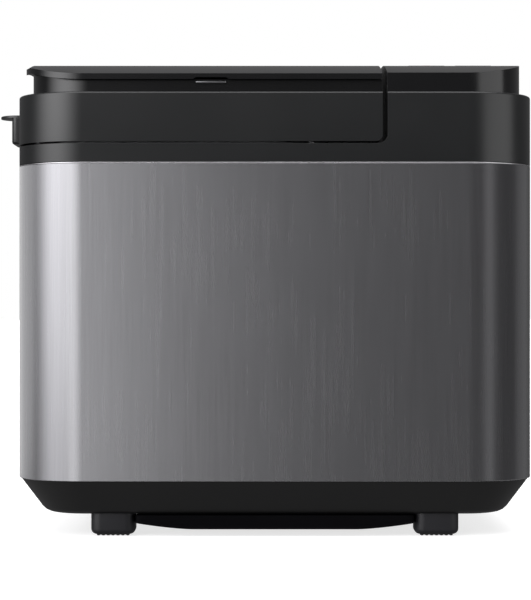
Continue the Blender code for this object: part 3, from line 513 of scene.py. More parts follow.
HEM = 0.0009
tube = block((-HALF_X, -HALF_Y, WRAP_LOW), (HALF_X, HALF_Y, WRAP_HIGH - HEM), CORNER, steps=40)
hollow = block(
    (0.0009 - HALF_X, 0.0009 - HALF_Y, WRAP_LOW - 0.01), (HALF_X - 0.0009, HALF_Y - 0.0009, WRAP_HIGH + 0.01),
    CORNER - 0.0009, steps=40,
)
wrap = carve("wrap", tube, [("DIFFERENCE", hollow), ("DIFFERENCE", rear_slots())])
piece("steel_wrap", wrap, "housing", wrap_steel, ["body_shell"], edge=0.00035)

# %% The turned edge along the wrap's top
hem_ring = block((-HALF_X, -HALF_Y, WRAP_HIGH - HEM), (HALF_X, HALF_Y, WRAP_HIGH), CORNER, steps=40)
hem_inside = block(
    (HEM - HALF_X, HEM - HALF_Y, WRAP_LOW), (
        HALF_X - HEM, HALF_Y - HEM, WRAP_HIGH + 0.01
    ), CORNER - HEM, steps=40
)
hem = carve("hem", hem_ring, [("DIFFERENCE", hem_inside)])
# The hem's bright colour is a painted highlight.
piece("wrap_hem", hem, "housing", hem_painted_highlight, edge=0.0004)

seam = block((-0.004, HALF_Y - 0.0012, WRAP_LOW + 0.0005), (0.004, HALF_Y - 0.00005, WRAP_HIGH - 0.0005), 0)
piece("wrap_seam", seam, "housing", wrap_steel, edge=0.0002)

# %% [markdown]
# ## Lights for the steel alone
# A studio flags some panels off the plastic, so that the steel gets a long gradient while the
# mouldings stay black. Light linking does the same: a light with a receiver collection only reaches what is
# in it.

# %% Light linking
steel_only = bpy.data.collections.new("lit_by_steel_panels")
not_steel = bpy.data.collections.new("left_out_by_right_panel")
for name in ("steel_wrap", "wrap_seam"):
    steel_only.objects.link(bpy.data.objects[name])
    not_steel.objects.link(bpy.data.objects[name])
for member in not_steel.collection_objects:
    member.light_linking.link_state = "EXCLUDE"
for lamp in steel_panels:
    lamp.light_linking.receiver_collection = steel_only
for lamp in plastic_panels:
    lamp.light_linking.receiver_collection = not_steel

# %% [markdown]
# ## The base tray
# The base narrows towards the floor, so that the machine seems to float, and its lower edge is softly
# rounded. Inset with a depth does exactly this: it shrinks the underside's outline by the same amount all
# round, corners included, and pushes it down.

# %% Base
BASE_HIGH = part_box("base_tray")[1][2]
tray = block(
    (0.0003 - HALF_X, 0.0003 - HALF_Y, BASE_HIGH - 0.0016),
    (HALF_X - 0.0003, HALF_Y - 0.0003, BASE_HIGH),
    CORNER,
    steps=32,
)
for inset, drop in ((0.0175, 0.0232), (0.0025, 0.0022), (0.0030, 0.0014), (0.0030, 0.0006)):
    floor_face = min(tray.faces, key=lambda f: f.calc_center_median().z)
    bmesh.ops.inset_region(tray, faces=[floor_face], thickness=inset, depth=drop, use_even_offset=True)
print("the base's underside is at", round(min(v.co.z for v in tray.verts), 4))
top_face = max(tray.faces, key=lambda f: f.calc_center_median().z)
bmesh.ops.delete(tray, geom=[top_face], context="FACES")
piece(
    "base_body",
    tray,
    "housing",
    base_black,
    ["base_tray"],
    edge=0.0012,
    wall=0.0025,
    sharp=12,
)

# %% [markdown]
# ## Feet
# Each foot is a short post with a narrower end and a ribbed rubber pad that keeps the machine from walking
# while it kneads. The ribs run from front to back, so they show as a row of small bumps along the pad's
# edge.

# %% Feet and pads
for tag in ("front_left", "front_right", "rear_left", "rear_right"):
    low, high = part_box("foot_pad_" + tag)
    centre_x, centre_y = (low[0] + high[0]) / 2 - MIDDLE_X, (low[1] + high[1]) / 2
    centre_x += math.copysign(0.0012, centre_x)
    post = block(
        (centre_x - 0.01680, centre_y - 0.014, 0.0009),
        (centre_x + 0.01680, centre_y + 0.014, 0.0178),
        0.008,
        steps=10,
    )
    end = [e for e in post.edges if all(v.co.z < 0.0010 for v in e.verts)]
    bmesh.ops.bevel(post, geom=end, offset=0.0040, segments=5, affect="EDGES", profile=0.5, material=-1)
    piece("foot_" + tag, post, "housing", foot_black, edge=0.0)
    ribs = [
        block(
            (centre_x - 0.0125, centre_y - 0.0105, 0.0006), (centre_x + 0.0125, centre_y + 0.0105, 0.0032),
            0.004, steps=6,
        )
    ]
    for n in range(7):
        middle = centre_x + (n - 3) * 0.0037
        rib_low = (middle - 0.0011, centre_y - 0.0102, 0.0)
        rib_high = (middle + 0.0011, centre_y + 0.0102, 0.0012)
        ribs.append(block(rib_low, rib_high, 0.0006, steps=2))
    piece(
        "pad_" + tag,
        gather(*ribs),
        "housing",
        pad_rubber,
        ["foot_pad_" + tag],
        edge=0.0002,
        edge_steps=2,
    )

# %% [markdown]
# ## The cover under the base
# A shallow tray closes the machine from below and hides its wiring. Its ends rise towards the feet. Cutting
# the block across with planes gives it the points that the bend needs, and the vents are cut last.

# %% The pan under the base
def under_cover():
    """A shallow pressed pan that rises towards the feet, with a row of vents."""
    low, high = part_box("bottom_cover")
    half_x, half_y = 0.1053, (high[1] - low[1]) / 2
    pan_work = block((-half_x, -half_y, low[2]), (half_x, half_y, high[2]), 0.004, steps=4, rim=0.0012)
    for x in [0.062 + 0.004 * n for n in range(11)]:
        for side in (-1, 1):
            everything = pan_work.verts[:] + pan_work.edges[:] + pan_work.faces[:]
            bmesh.ops.bisect_plane(
                pan_work, geom=everything, plane_co=(side * x, 0, 0), plane_no=(1, 0, 0), dist=1e-7
            )
    for vert in pan_work.verts:
        if vert.co.z < low[2] + 0.0020:
            past = max(0.0, (abs(vert.co.x) - 0.062) / (half_x - 0.062))
            vert.co.z += 0.0046 * past ** 1.5
    vents = [
        block(
            (-0.042 + 0.012 * n, side * 0.05 - 0.02, 0),
            (-0.038 + 0.012 * n, side * 0.05 + 0.02, low[2] + 0.0015),
            0.0015,
        )
        for n in range(8) for side in (-1, 1)
    ]
    return carve("under_cover", pan_work, [("DIFFERENCE", gather(*vents))])


# Painted shade: the pan's near-black colour stands for the shadow under the base.
piece("under_cover", under_cover(), "housing", under_painted_shade_black, ["bottom_cover"], edge=0.0003)

# %% [markdown]
# ## The arched roof
# The cover and the control block share one roof, which is nearly flat in the middle and falls away towards
# the front and the back. It is a slab cut into strips across the depth, whose points are then lifted to the
# arch. Crossing that slab with a plan gives a piece with the right outline and the right crown at once.

# %% Roof slab
ROOF, CROWN, POWER, ROOF_HALF_Y = 0.3619, 0.0150, 2.6, 0.121


def roof_height(y):
    return ROOF - CROWN * min(abs(y) / ROOF_HALF_Y, 1) ** POWER


def roof_slab(under, over, strips=44, slope_from=None):
    """The space between two surfaces that follow the arch at given drops; None is far above or far below."""
    work = box_work((-0.26, -0.15, 0), (0.26, 0.15, 1))
    places = [ROOF_HALF_Y * math.sin(math.pi / 2 * (2 * n / strips - 1)) for n in range(strips + 1)]
    for y in places:
        everything = work.verts[:] + work.edges[:] + work.faces[:]
        bmesh.ops.bisect_plane(work, geom=everything, plane_co=(0, y, 0), plane_no=(0, 1, 0), dist=1e-7)
    for vert in work.verts:
        drop = over if vert.co.z > 0.5 else under
        flat = 0.42 if vert.co.z > 0.5 else 0.2
        vert.co.z = flat if drop is None else roof_height(vert.co.y) - drop
    if slope_from is not None:
        everything = work.verts[:] + work.edges[:] + work.faces[:]
        bmesh.ops.bisect_plane(
            work, geom=everything, plane_co=(slope_from, 0, 0), plane_no=(1, 0, 0), dist=1e-7
        )
        for vert in work.verts:
            if vert.co.z > 0.33 and vert.co.x < slope_from:
                vert.co.z -= 0.56 * (slope_from - vert.co.x)
    return work


print("the roof falls to", round(roof_height(ROOF_HALF_Y), 4))

# %% [markdown]
# ## The upper housing
# One moulding makes the band round the lid's foot, the deck beside the chamber and the raised control
# block. The block steps in at a ledge whose edge is rounded, and that edge catches the light as a thin
# line. The lid's room is cut away with a rounded inner corner.

# %% Upper housing
BAND_LOW, RIM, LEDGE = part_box("upper_housing")[0][2], 0.2945, 0.3318
BLOCK_LEFT, LID_RIGHT = 0.0838, 0.0800
BLOCK_TIER, COVER_SIDE, TIER_SIDE = 0.008, 0.0054, 0.0103
CHAMBER_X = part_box("bread_pan")[0][0] / 2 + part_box("bread_pan")[1][0] / 2 - MIDDLE_X


def band_block(low, high, rim, inset=0.0, left=None, right=None):
    """The body's plan between two heights, pulled in, with a rounded top rim."""
    left = inset - HALF_X if left is None else left
    right = HALF_X - inset if right is None else right
    corners = "both" if left < -0.15 and right > 0.15 else ("left" if left < -0.15 else "right")
    return block(
        (left, inset - HALF_Y, low), (right, HALF_Y - inset, high), CORNER - inset, corners, 32, rim, 5
    )


def lid_room(depth=0.14):
    """What the lid takes out of the housing: a long box with a rounded lower corner."""
    work = box_work((-0.25, -depth, RIM), (BLOCK_LEFT, depth, 0.40))
    corner = [e for e in work.edges if all(v.co.x > 0 and v.co.z < 0.3 for v in e.verts)]
    bmesh.ops.bevel(work, geom=corner, offset=0.007, segments=8, affect="EDGES", profile=0.5, material=-1)
    return work


def notch_above_gap():
    """The bevel on the block's top left edge."""
    work = box_work((BLOCK_LEFT - 0.01, -0.14, 0.3575), (BLOCK_LEFT + 0.0045, 0.14, 0.40))
    for vert in work.verts:
        if vert.co.x > BLOCK_LEFT and vert.co.z < 0.36:
            vert.co.x = BLOCK_LEFT
    return work


tier = block(
    (0.06, BLOCK_TIER - HALF_Y, 0.325), (HALF_X - BLOCK_TIER, HALF_Y - BLOCK_TIER, 0.40), 0.046, "right", 28
)
opening = block((CHAMBER_X - 0.0982, -0.1142, 0.26), (CHAMBER_X + 0.0982, 0.1142, 0.32), 0.0362, steps=12)
recess = block(
    (0.003 - HALF_X, 0.003 - HALF_Y, 0.291), (0.076, HALF_Y - 0.003, 0.31), CORNER - 0.003, "left", 24
)
under = block(
    (0.0025 - HALF_X, 0.0025 - HALF_Y, 0.27),
    (HALF_X - 0.0025, HALF_Y - 0.0025, 0.288),
    CORNER - 0.0025,
    steps=24,
)
cavity = block(
    (BLOCK_LEFT + 0.0025, 0.0105 - HALF_Y, 0.27),
    (HALF_X - 0.0105, HALF_Y - 0.0105, 0.40),
    0.0435,
    "right",
    20,
)
cavity = carve("cavity", cavity, [("INTERSECT", roof_slab(None, 0.0025, 20))])
panel_low, panel_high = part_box("control_panel")
seat = block(
    (panel_low[0] - MIDDLE_X - 0.0003, panel_low[1] - 0.0003, 0.345),
    (panel_high[0] - MIDDLE_X + 0.0003, panel_high[1] + 0.0003, 0.37),
    0.006,
    steps=6,
)
housing = carve("housing", band_block(BAND_LOW, LEDGE + 0.0012, 0.0016), [
    ("UNION", carve("tier", tier, [("INTERSECT", roof_slab(None, 0.0))])),
    ("DIFFERENCE", lid_room()),
    ("DIFFERENCE", notch_above_gap()),
    ("DIFFERENCE", recess),
    ("DIFFERENCE", under),
    ("DIFFERENCE", cavity),
    ("DIFFERENCE", opening),
    ("DIFFERENCE", seat),
])
upper_body = piece(
    "upper_body", housing, "housing", satin_black, ["upper_housing"], edge=0.0008, sharp=30
)

# %% [markdown]
# ## Gloss levels and painted light
# One moulding can leave the tool with several finishes. Faces of one mesh can use different material slots,
# so the walls above the ledge are polished and the faces that look up get the roof's finish, with no new
# mesh. The slots also carry painted light: the walls get a darker black as painted shade, and on the housing
# the faces that look up get a lighter black as painted light.

# %% Two gloss levels on one moulding
def polish_and_paint_light(made, roof_finish):
    """Polished walls above the ledge in a black painted darker as shade, and the roof's own finish on faces
    that look up.
    """
    made.data.materials.append(polished_painted_shade_black.material)
    made.data.materials.append(roof_finish.material)
    for face in made.data.polygons:
        if face.center.z > LEDGE + 0.0014:
            face.material_index = 2 if face.normal.z > 0.6 else 1
    print(made.name, "polished faces", sum(f.material_index == 1 for f in made.data.polygons))


polish_and_paint_light(upper_body, roof_painted_light_black)

# %% [markdown]
# ## The lid
# The lid repeats the housing's section: a lower band, a ledge with a rounded edge, and a narrower polished
# tier under the cover. Its right end is square with a round lower corner, which swings inside the housing's
# matching corner as it opens.

# %% Lid shell
LID_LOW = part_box("lid_shell")[0][2]
SEAM_DROP = 0.0057


def past_the_end(corner):
    """Everything right of the lid's end, for cutting it square with a rounded lower corner."""
    work = box_work((-0.25, -0.14, LID_LOW), (LID_RIGHT, 0.14, 0.42))
    low = [e for e in work.edges if all(v.co.x > 0 and v.co.z < LID_LOW + 0.001 for v in e.verts)]
    bmesh.ops.bevel(work, geom=low, offset=corner, segments=8, affect="EDGES", profile=0.5, material=-1)
    return work


lid_band = band_block(LID_LOW, LEDGE + 0.0012, 0.0016, right=0.09)
lid_tier = block(
    (TIER_SIDE - HALF_X, TIER_SIDE - HALF_Y, 0.325), (0.09, HALF_Y - TIER_SIDE, 0.40), 0.0458, "left", 32
)
lid_tier = carve("lid_tier", lid_tier, [("INTERSECT", roof_slab(None, SEAM_DROP))])
band_inside = block(
    (0.0025 - HALF_X, 0.0025 - HALF_Y, 0.28),
    (LID_RIGHT - 0.0025, HALF_Y - 0.0025, LEDGE - 0.0025),
    CORNER - 0.0025,
    "left",
    24,
)
tier_inside = block(
    (TIER_SIDE + 0.0025 - HALF_X, TIER_SIDE + 0.0025 - HALF_Y, 0.32),
    (LID_RIGHT - 0.0027, HALF_Y - TIER_SIDE - 0.0025, 0.40),
    0.0433,
    "left",
    20,
)
tier_inside = carve("tier_inside", tier_inside, [("INTERSECT", roof_slab(None, SEAM_DROP + 0.0025, 20))])
nut_low, nut_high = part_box("nut_dispenser")
nut_hole = box_work(
    (nut_low[0] - MIDDLE_X - 0.0003, nut_low[1] - 0.0003, 0.33),
    (nut_high[0] - MIDDLE_X + 0.0003, nut_high[1] + 0.0003, 0.37),
)
yeast_x = (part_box("yeast_cup")[0][0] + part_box("yeast_cup")[1][0]) / 2 - MIDDLE_X
yeast_hole = bar_work(0.0143, (yeast_x, 0, 0.33), (yeast_x, 0, 0.37), 40)
duct_low, duct_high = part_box("steam_duct")
duct_hole = box_work(
    (duct_low[0] - MIDDLE_X - 0.0003, duct_low[1] - 0.0003, 0.33),
    (duct_high[0] - MIDDLE_X + 0.0003, duct_high[1] + 0.0003, 0.37),
)
hinge_slots = [
    ("DIFFERENCE", box_work((0.052, y - 0.0052, 0.285), (0.09, y + 0.0052, 0.358)))
    for y in (-0.030, 0.030)
]
lid = carve("lid", lid_band, [
    ("UNION", lid_tier),
    ("INTERSECT", past_the_end(0.0045)),
    ("DIFFERENCE", band_inside),
    ("DIFFERENCE", tier_inside),
    ("DIFFERENCE", nut_hole),
    ("DIFFERENCE", yeast_hole),
    ("DIFFERENCE", duct_hole),
    *hinge_slots,
])
lid_body = piece("lid_body", lid, "lid", satin_black, ["lid_shell"], edge=0.0006, sharp=30)

# %% Polished wall under the cover, painted darker as shade
polish_and_paint_light(lid_body, polished_painted_shade_black)

# %% Hinge lugs and cover knuckles
lugs = []
for y in (-0.030, 0.030):
    for way in (-1, 1):
        low = y + way * 0.0072 - 0.0020
        lugs.append(block((0.056, low, 0.3425), (0.072, low + 0.004, 0.3530), 0))
cover_y, cover_z = 0.1190, 0.3375
for x in (-0.135, 0.035):
    for way in (-1, 1):
        start = x + way * 0.0105
        lugs.append(bar_work(0.003, (start, cover_y, cover_z), (start + way * 0.006, cover_y, cover_z)))
        low = min(start, start + way * 0.006)
        lugs.append(box_work((low, 0.1142, 0.3352), (low + 0.006, cover_y, 0.3385)))
piece("lid_lugs", gather(*lugs), "lid", satin_black, edge=0.0003, edge_steps=2)

# %% [markdown]
# ## The dispenser cover
# A thin crowned plate covers the nut and yeast dispensers. Its rim is rounded over, more so at the left
# end, and a shallow scoop in its front edge lets a fingertip under it.

# %% Dispenser cover
THICK = 0.0043
plan = block((COVER_SIDE - HALF_X, -ROOF_HALF_Y, 0.32), (LID_RIGHT, ROOF_HALF_Y, 0.40), 0.047, "left", 32)
slot_x = [-0.140 + 0.007 * (n - 2) for n in range(5)]
slots = gather(
    *[block((x - 0.0015, 0.056, 0.33), (x + 0.0015, 0.074, 0.38), 0.0014, steps=4) for x in slot_x]
)
scoop = block((-0.0611, -0.130, 0.330), (-0.0345, -0.1120, 0.3440), 0)
top_scoop = [
    e for e in scoop.edges
    if all(v.co.z > 0.34 for v in e.verts) and abs(e.verts[0].co.y - e.verts[1].co.y) > 0.01
]
bmesh.ops.bevel(scoop, geom=top_scoop, offset=0.0025, segments=4, affect="EDGES", profile=0.5, material=-1)
end_bevel = box_work((LID_RIGHT - 0.0035, -0.14, 0.3585), (0.12, 0.14, 0.40))
for vert in end_bevel.verts:
    if vert.co.x < 0.1 and vert.co.z < 0.36:
        vert.co.x = LID_RIGHT
slope_from = 0.0050 + COVER_SIDE - HALF_X
cover = carve("cover", plan, [
    ("INTERSECT", roof_slab(THICK, 0.0, slope_from=slope_from)),
    ("DIFFERENCE", slots),
    ("DIFFERENCE", end_bevel),
])
cover = carve("cover", cover, [("DIFFERENCE", scoop)])
barrels = []
for x in (-0.135, 0.035):
    barrels.append(bar_work(0.003, (x - 0.0098, cover_y, cover_z), (x + 0.0098, cover_y, cover_z)))
    barrels.append(bar_work(0.0012, (x - 0.0160, cover_y, cover_z), (x + 0.0160, cover_y, cover_z), 12))
    barrels.append(box_work((x - 0.0098, 0.1173, cover_z), (x + 0.0098, 0.1202, 0.3440)))
cover_plate = piece(
    "cover_plate",
    gather(cover, *barrels),
    "cover",
    roof_painted_light_black,
    ["dispenser_lid"],
    edge=0.0008,
    sharp=28,
)
# Faces that don't look up get the darker black, as painted shade on the plate's edges. The lighter roof black
# on its top is painted light.
cover_plate.data.materials.append(polished_painted_shade_black.material)
for face in cover_plate.data.polygons:
    if face.normal.z < 0.4:
        face.material_index = 1

# %% [markdown]
# ## The finger rest
# A slim round bar with softened ends lies behind the cover's scoop, where a fingertip lifts the cover. Its
# bright metal is a painted highlight, standing for the light that the lid's edge catches in the scoop.

# %% Finger rest under the scoop
rest = bar_work(0.0010, (-0.0592, -0.1172, 0.3408), (-0.0364, -0.1172, 0.3408), 20)
ends = [
    e for e in rest.edges
    if all(v.co.x < -0.059 for v in e.verts) or all(v.co.x > -0.0365 for v in e.verts)
]
bmesh.ops.bevel(rest, geom=ends, offset=0.0007, segments=3, affect="EDGES", profile=0.5, material=-1)
# Painted highlight: the bright bar stands for the light on the lid's edge.
piece("finger_rest", rest, "lid", rest_painted_highlight_metal)

# %% [markdown]
# ## The lid's handle
# A finger lip stands out of the lid's left end: a root block and, over it, a thin flange with a round
# nose. The root's lower edge is rounded so that it is kind to a hand lifting from below.

# %% Handle
grip_low, grip_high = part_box("lid_handle")
left, right = grip_low[0] - MIDDLE_X, grip_high[0] - MIDDLE_X
root = block((right - 0.0128, -0.0185, 0.3020), (right, 0.0185, 0.3232), 0.004, "left", 8)
lower = [e for e in root.edges if all(v.co.z < 0.3021 and v.co.x < right - 0.001 for v in e.verts)]
bmesh.ops.bevel(root, geom=lower, offset=0.0022, segments=4, affect="EDGES", profile=0.5, material=-1)
flange = block(
    (left + 0.0009, -0.0165, 0.3232), (right, 0.0165, 0.3253), 0.0162, "left", 16, rim=0.0008, rim_steps=3
)
piece(
    "lid_grip",
    gather(root, flange),
    "lid",
    satin_black,
    ["lid_handle"],
    edge=0.0003,
    edge_steps=2,
)

# %% [markdown]
# ## Metals, coatings and the rest
# Inside, the materials tell the parts apart: aluminised steel with heat tints round the element, a speckled
# non-stick coat on pan and blade, oxidised tube on the element, pale nylon, grey silicone and bronze. Each
# gets the detail that it has up close, at its own scale.

# %% Bare metals
chamber_steel = Finish("chamber_steel", (0.52, 0.52, 0.53), 0.35, 1.0)
spangle = chamber_steel.at.node(
    "ShaderNodeTexVoronoi", {"feature": "F1"}, {"Vector": chamber_steel.at, "Scale": 140.0}, output=1
)
height_up = chamber_steel.axis("Z")
warmth = (1 - height_up.step(0.07, 0.15)) * chamber_steel.noise(18, 3.0)
bare = spangle.node(
    "ShaderNodeSeparateColor", None, {0: spangle}
).blend((0.47, 0.47, 0.48, 1), (0.60, 0.60, 0.61, 1))
chamber_steel.set("Base Color", warmth.blend(bare, (0.42, 0.30, 0.17, 1)))
chamber_steel.set("Roughness", 0.28 + 0.16 * chamber_steel.noise(90, 3.0))
chamber_steel.bump(chamber_steel.noise(600, 2.0), 0.00001)


def bare_metal(name, colour, roughness, scratch=(1, 1, 1), metallic=1.0):
    """Metal with fine machining marks that run across the squeezed axis."""
    made = Finish(name, colour, roughness, metallic)
    marks = made.noise(900, 2.0, scratch)
    cloud = made.noise(35, 3.0)
    dull = tuple(0.72 * c for c in colour) + (1,)
    made.set("Base Color", (0.45 * cloud + 0.3 * marks).blend((*colour, 1), dull))
    made.set("Roughness", roughness - 0.06 + 0.1 * marks + 0.06 * cloud)
    made.bump(marks, 0.000008)
    return made


plain_steel = bare_metal("plain_steel", (0.56, 0.56, 0.57), 0.32)
turned_steel = bare_metal("turned_steel", (0.6, 0.6, 0.61), 0.25, (0.05, 0.05, 1))
laminated_steel = bare_metal("laminated_steel", (0.30, 0.30, 0.31), 0.42, (0.02, 0.02, 2.0))
bush_bronze = bare_metal("bush_bronze", (0.52, 0.33, 0.15), 0.38, (0.05, 0.05, 1))
element_tube = bare_metal("element_tube", (0.10, 0.095, 0.09), 0.5, metallic=0.7)
print("made the metals")

# %% Coatings and mouldings
pan_coat = Finish("pan_coat", (0.05, 0.05, 0.054), 0.38)
flecks = pan_coat.noise(1500, 1.0).step(0.66, 0.72)
orange_peel = pan_coat.noise(480, 2.0)
worn = pan_coat.noise(30, 4.0).step(0.5, 0.8)
pan_coat.set(
    "Base Color", (0.55 * flecks + 0.08 * worn).blend((0.045, 0.045, 0.049, 1), (0.24, 0.24, 0.25, 1))
)
pan_coat.set("Roughness", 0.3 + 0.14 * orange_peel + 0.08 * worn)
pan_coat.bump(orange_peel, 0.00003)

pale_nylon = moulded("pale_nylon", (0.66, 0.65, 0.61), 0.46, 0.00002, 0.2)
grey_silicone = moulded("grey_silicone", (0.30, 0.30, 0.31), 0.6, 0.00004, 0.8)
belt_rubber = moulded("belt_rubber", (0.014, 0.014, 0.014), 0.7, 0.00005, 0.7)
button_black = moulded("button_black", (0.032, 0.032, 0.034), 0.42, 0.00002, 0.2)

circuit_green = Finish("circuit_green", (0.02, 0.13, 0.05), 0.35)
tracks = circuit_green.at.node(
    "ShaderNodeTexBrick", None,
    {
        "Vector": circuit_green.stretched(1, 1, 1),
        "Scale": 160.0,
        "Color1": (0.02, 0.13, 0.05, 1),
        "Color2": (0.025, 0.17, 0.065, 1),
        "Mortar": (0.04, 0.24, 0.10, 1),
    },
)
circuit_green.set("Base Color", circuit_green.noise(60, 2.0).blend(tracks, (0.015, 0.10, 0.04, 1)))
circuit_green.set("Roughness", 0.3 + 0.2 * circuit_green.noise(300, 2.0))

panel_gloss = moulded("panel_gloss", (0.006, 0.006, 0.007), 0.16, 0.000002, 0.15)
glass_black = moulded("glass_black", (0.010, 0.013, 0.014), 0.07, 0.000001, 0.05)
icon_print = moulded("icon_print", (0.62, 0.63, 0.64), 0.5, 0.00001, 0.3)
display_glow = moulded("display_glow", (0.45, 0.62, 0.66), 0.4, 0.00001, 0.1)
display_glow.shader.inputs["Emission Color"].default_value = (0.35, 0.75, 0.85, 1)
display_glow.shader.inputs["Emission Strength"].default_value = 0.5
red_print = moulded("red_print", (0.50, 0.05, 0.04), 0.5, 0.00001, 0.3)
print("made", len(bpy.data.materials), "materials in all")

# %% [markdown]
# ## The control panel
# The panel is a glossy strip let into the block's roof. It follows the crown, so its icons have to as well:
# each one is drawn flat and then draped, which means that every point is lifted to the roof's height at its
# own place.


# %% Panel
def drape(work, lift=0.0):
    """Adds the roof's height to a flat drawing made round z = 0."""
    for vert in work.verts:
        vert.co.z += roof_height(vert.co.y) + lift
    return work


def local_box(node):
    """A node's corners, measured from the middle of the body."""
    low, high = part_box(node)
    return Vector((low[0] - MIDDLE_X, low[1], low[2])), Vector((high[0] - MIDDLE_X, high[1], high[2]))


BUTTON_NAMES = [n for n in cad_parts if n.startswith("button_")]
window_low, window_high = local_box("display_window")
panel_low, panel_high = local_box("control_panel")
holes = []
for name in BUTTON_NAMES:
    low, high = local_box(name)
    hole_low = (low.x - 0.0004, low.y - 0.0004, 0.34)
    hole_high = (high.x + 0.0004, high.y + 0.0004, 0.37)
    holes.append(("DIFFERENCE", block(hole_low, hole_high, 0.0044, steps=6)))
window_seat = block(
    (window_low.x - 0.0003, window_low.y - 0.0003, 0.34),
    (window_high.x + 0.0003, window_high.y + 0.0003, 0.37),
    0.0033,
    steps=6,
)
panel = block((panel_low.x, panel_low.y, 0.33), (panel_high.x, panel_high.y, 0.37), 0.0057, steps=8)
panel = carve("panel", panel, [("INTERSECT", roof_slab(0.0024, 0.0)), ("DIFFERENCE", window_seat), *holes])
piece(
    "panel_strip",
    panel,
    "housing",
    panel_gloss,
    ["control_panel"],
    edge=0.00025,
    edge_steps=2,
)
window = block((window_low.x, window_low.y, 0.33), (window_high.x, window_high.y, 0.37), 0.003, steps=6)
window = carve("window", window, [("INTERSECT", roof_slab(0.0016, 0.0))])
piece("display_pane", window, "housing", glass_black, ["display_window"], edge=0.0002, edge_steps=2)


# %% [markdown]
# ## The display and its figures
# The display shows a time left, such as 3:20, in seven-segment figures. A segment is a thin bar, and which
# of the seven are lit spells the figure.

# %% Figures
SEGMENTS = {"0": "abcdef", "2": "abged", "3": "abgcd", "5": "afgcd"}
BARS = {
    "a": (0, 2, 1),
    "g": (0, 0, 1),
    "d": (0, -2, 1),
    "f": (-1, 1, 0),
    "b": (1, 1, 0),
    "e": (-1, -1, 0),
    "c": (1, -1, 0),
}


def figure(text, x, y, size):
    """Bars of one seven-segment figure, lying flat."""
    bars = []
    for letter in SEGMENTS[text]:
        across, up, flat = BARS[letter]
        cx, cy = x + across * size * 0.5, y + up * size * 0.5
        long, thin = size * 0.42, size * 0.085
        half = (long, thin) if flat else (thin, long)
        bars.append(block((cx - half[0], cy - half[1], -0.0001), (cx + half[0], cy + half[1], 0.00005), 0.0))
    return bars


centre = (window_low + window_high) / 2
bars = figure("3", centre.x - 0.017, centre.y, 0.0085) + figure("2", centre.x + 0.001, centre.y, 0.0085)
bars += figure("0", centre.x + 0.015, centre.y, 0.0085)
for up in (-0.0035, 0.0035):
    bar_low = (centre.x - 0.0085, centre.y + up - 0.0007, -0.0001)
    bar_high = (centre.x - 0.0071, centre.y + up + 0.0007, 0.00005)
    bars.append(block(bar_low, bar_high, 0.0))
for n in range(6):
    left = window_low.x + 0.006 + n * 0.0098
    bars.append(
        block((left, window_low.y + 0.0035, -0.0001), (left + 0.0055, window_low.y + 0.0044, 0.00005), 0.0)
    )
piece("display_figures", drape(gather(*bars)), "housing", display_glow)

# %% [markdown]
# ## The buttons
# Seven buttons share one form and differ in their icon: bars for the menu, loaves for the size, a sun for
# the crust, arrows for the time, and a square and a triangle for stop and start. Each rides on its own
# sliding body.


# %% Icons
def disc(x, y, radius, sides=20):
    return bar_work(radius, (x, y, -0.0001), (x, y, 0.00006), sides)


def bar(x, y, half_x, half_y):
    return block((x - half_x, y - half_y, -0.0001), (x + half_x, y + half_y, 0.00006), 0.0)


def arrow(x, y, radius, turn):
    """A triangle that points at an angle in degrees."""
    work = bar_work(radius, (0, 0, -0.0001), (0, 0, 0.00006), 3)
    first = max(work.verts, key=lambda v: v.co.y)
    now = math.degrees(math.atan2(first.co.y, first.co.x))
    bmesh.ops.rotate(
        work, verts=work.verts, cent=(0, 0, 0), matrix=Matrix.Rotation(math.radians(turn - now), 3, "Z")
    )
    bmesh.ops.translate(work, verts=work.verts, vec=(x, y, 0))
    return work


def icon(name, x, y):
    """The printed mark of one button."""
    if name == "button_menu":
        return [bar(x, y + n * 0.0019, 0.0038, 0.00045) for n in (-1, 0, 1)]
    if name == "button_size":
        return [
            bar(x - 0.0036, y, 0.0011, 0.0011),
            bar(x, y, 0.0015, 0.0017),
            bar(x + 0.0042, y, 0.0019, 0.0023),
        ]
    if name == "button_crust":
        rays = [
            disc(x + 0.0034 * math.cos(a), y + 0.0034 * math.sin(a), 0.0005, 8)
            for a in [math.tau * n / 8 for n in range(8)]
        ]
        return [disc(x, y, 0.0019), *rays]
    if name == "button_timer_up":
        return [arrow(x, y - 0.0005, 0.0029, 90)]
    if name == "button_timer_down":
        return [arrow(x, y + 0.0005, 0.0029, -90)]
    if name == "button_start":
        return [arrow(x - 0.0005, y, 0.0040, 0)]
    return [bar(x, y, 0.0030, 0.0030)]


for name in BUTTON_NAMES:
    low, high = local_box(name)
    centre = (low + high) / 2
    cap = block((low.x, low.y, 0.3515), (high.x, high.y, 0.38), 0.004, steps=6)
    cap = carve("cap", cap, [("INTERSECT", roof_slab(None, -0.0002, 30))])
    stem = bar_work(0.002, (centre.x, centre.y, 0.3432), (centre.x, centre.y, 0.3525), 12)
    piece(name + "_cap", gather(cap, stem), name + "_key", button_black, [name], edge=0.0006)
    marks = drape(gather(*icon(name, centre.x, centre.y)), 0.0002)
    piece(name + "_icon", marks, name + "_key", red_print if name == "button_stop" else icon_print)

# %% [markdown]
# ## The baking chamber
# The liner is pressed from aluminised steel: a deep tub with soft corners, a rounded floor edge and a
# flange that rests on the deck. Holes let the drive, the element's ends and the probe through.

# %% Chamber liner
HALF_CHAMBER = (0.090, 0.106)


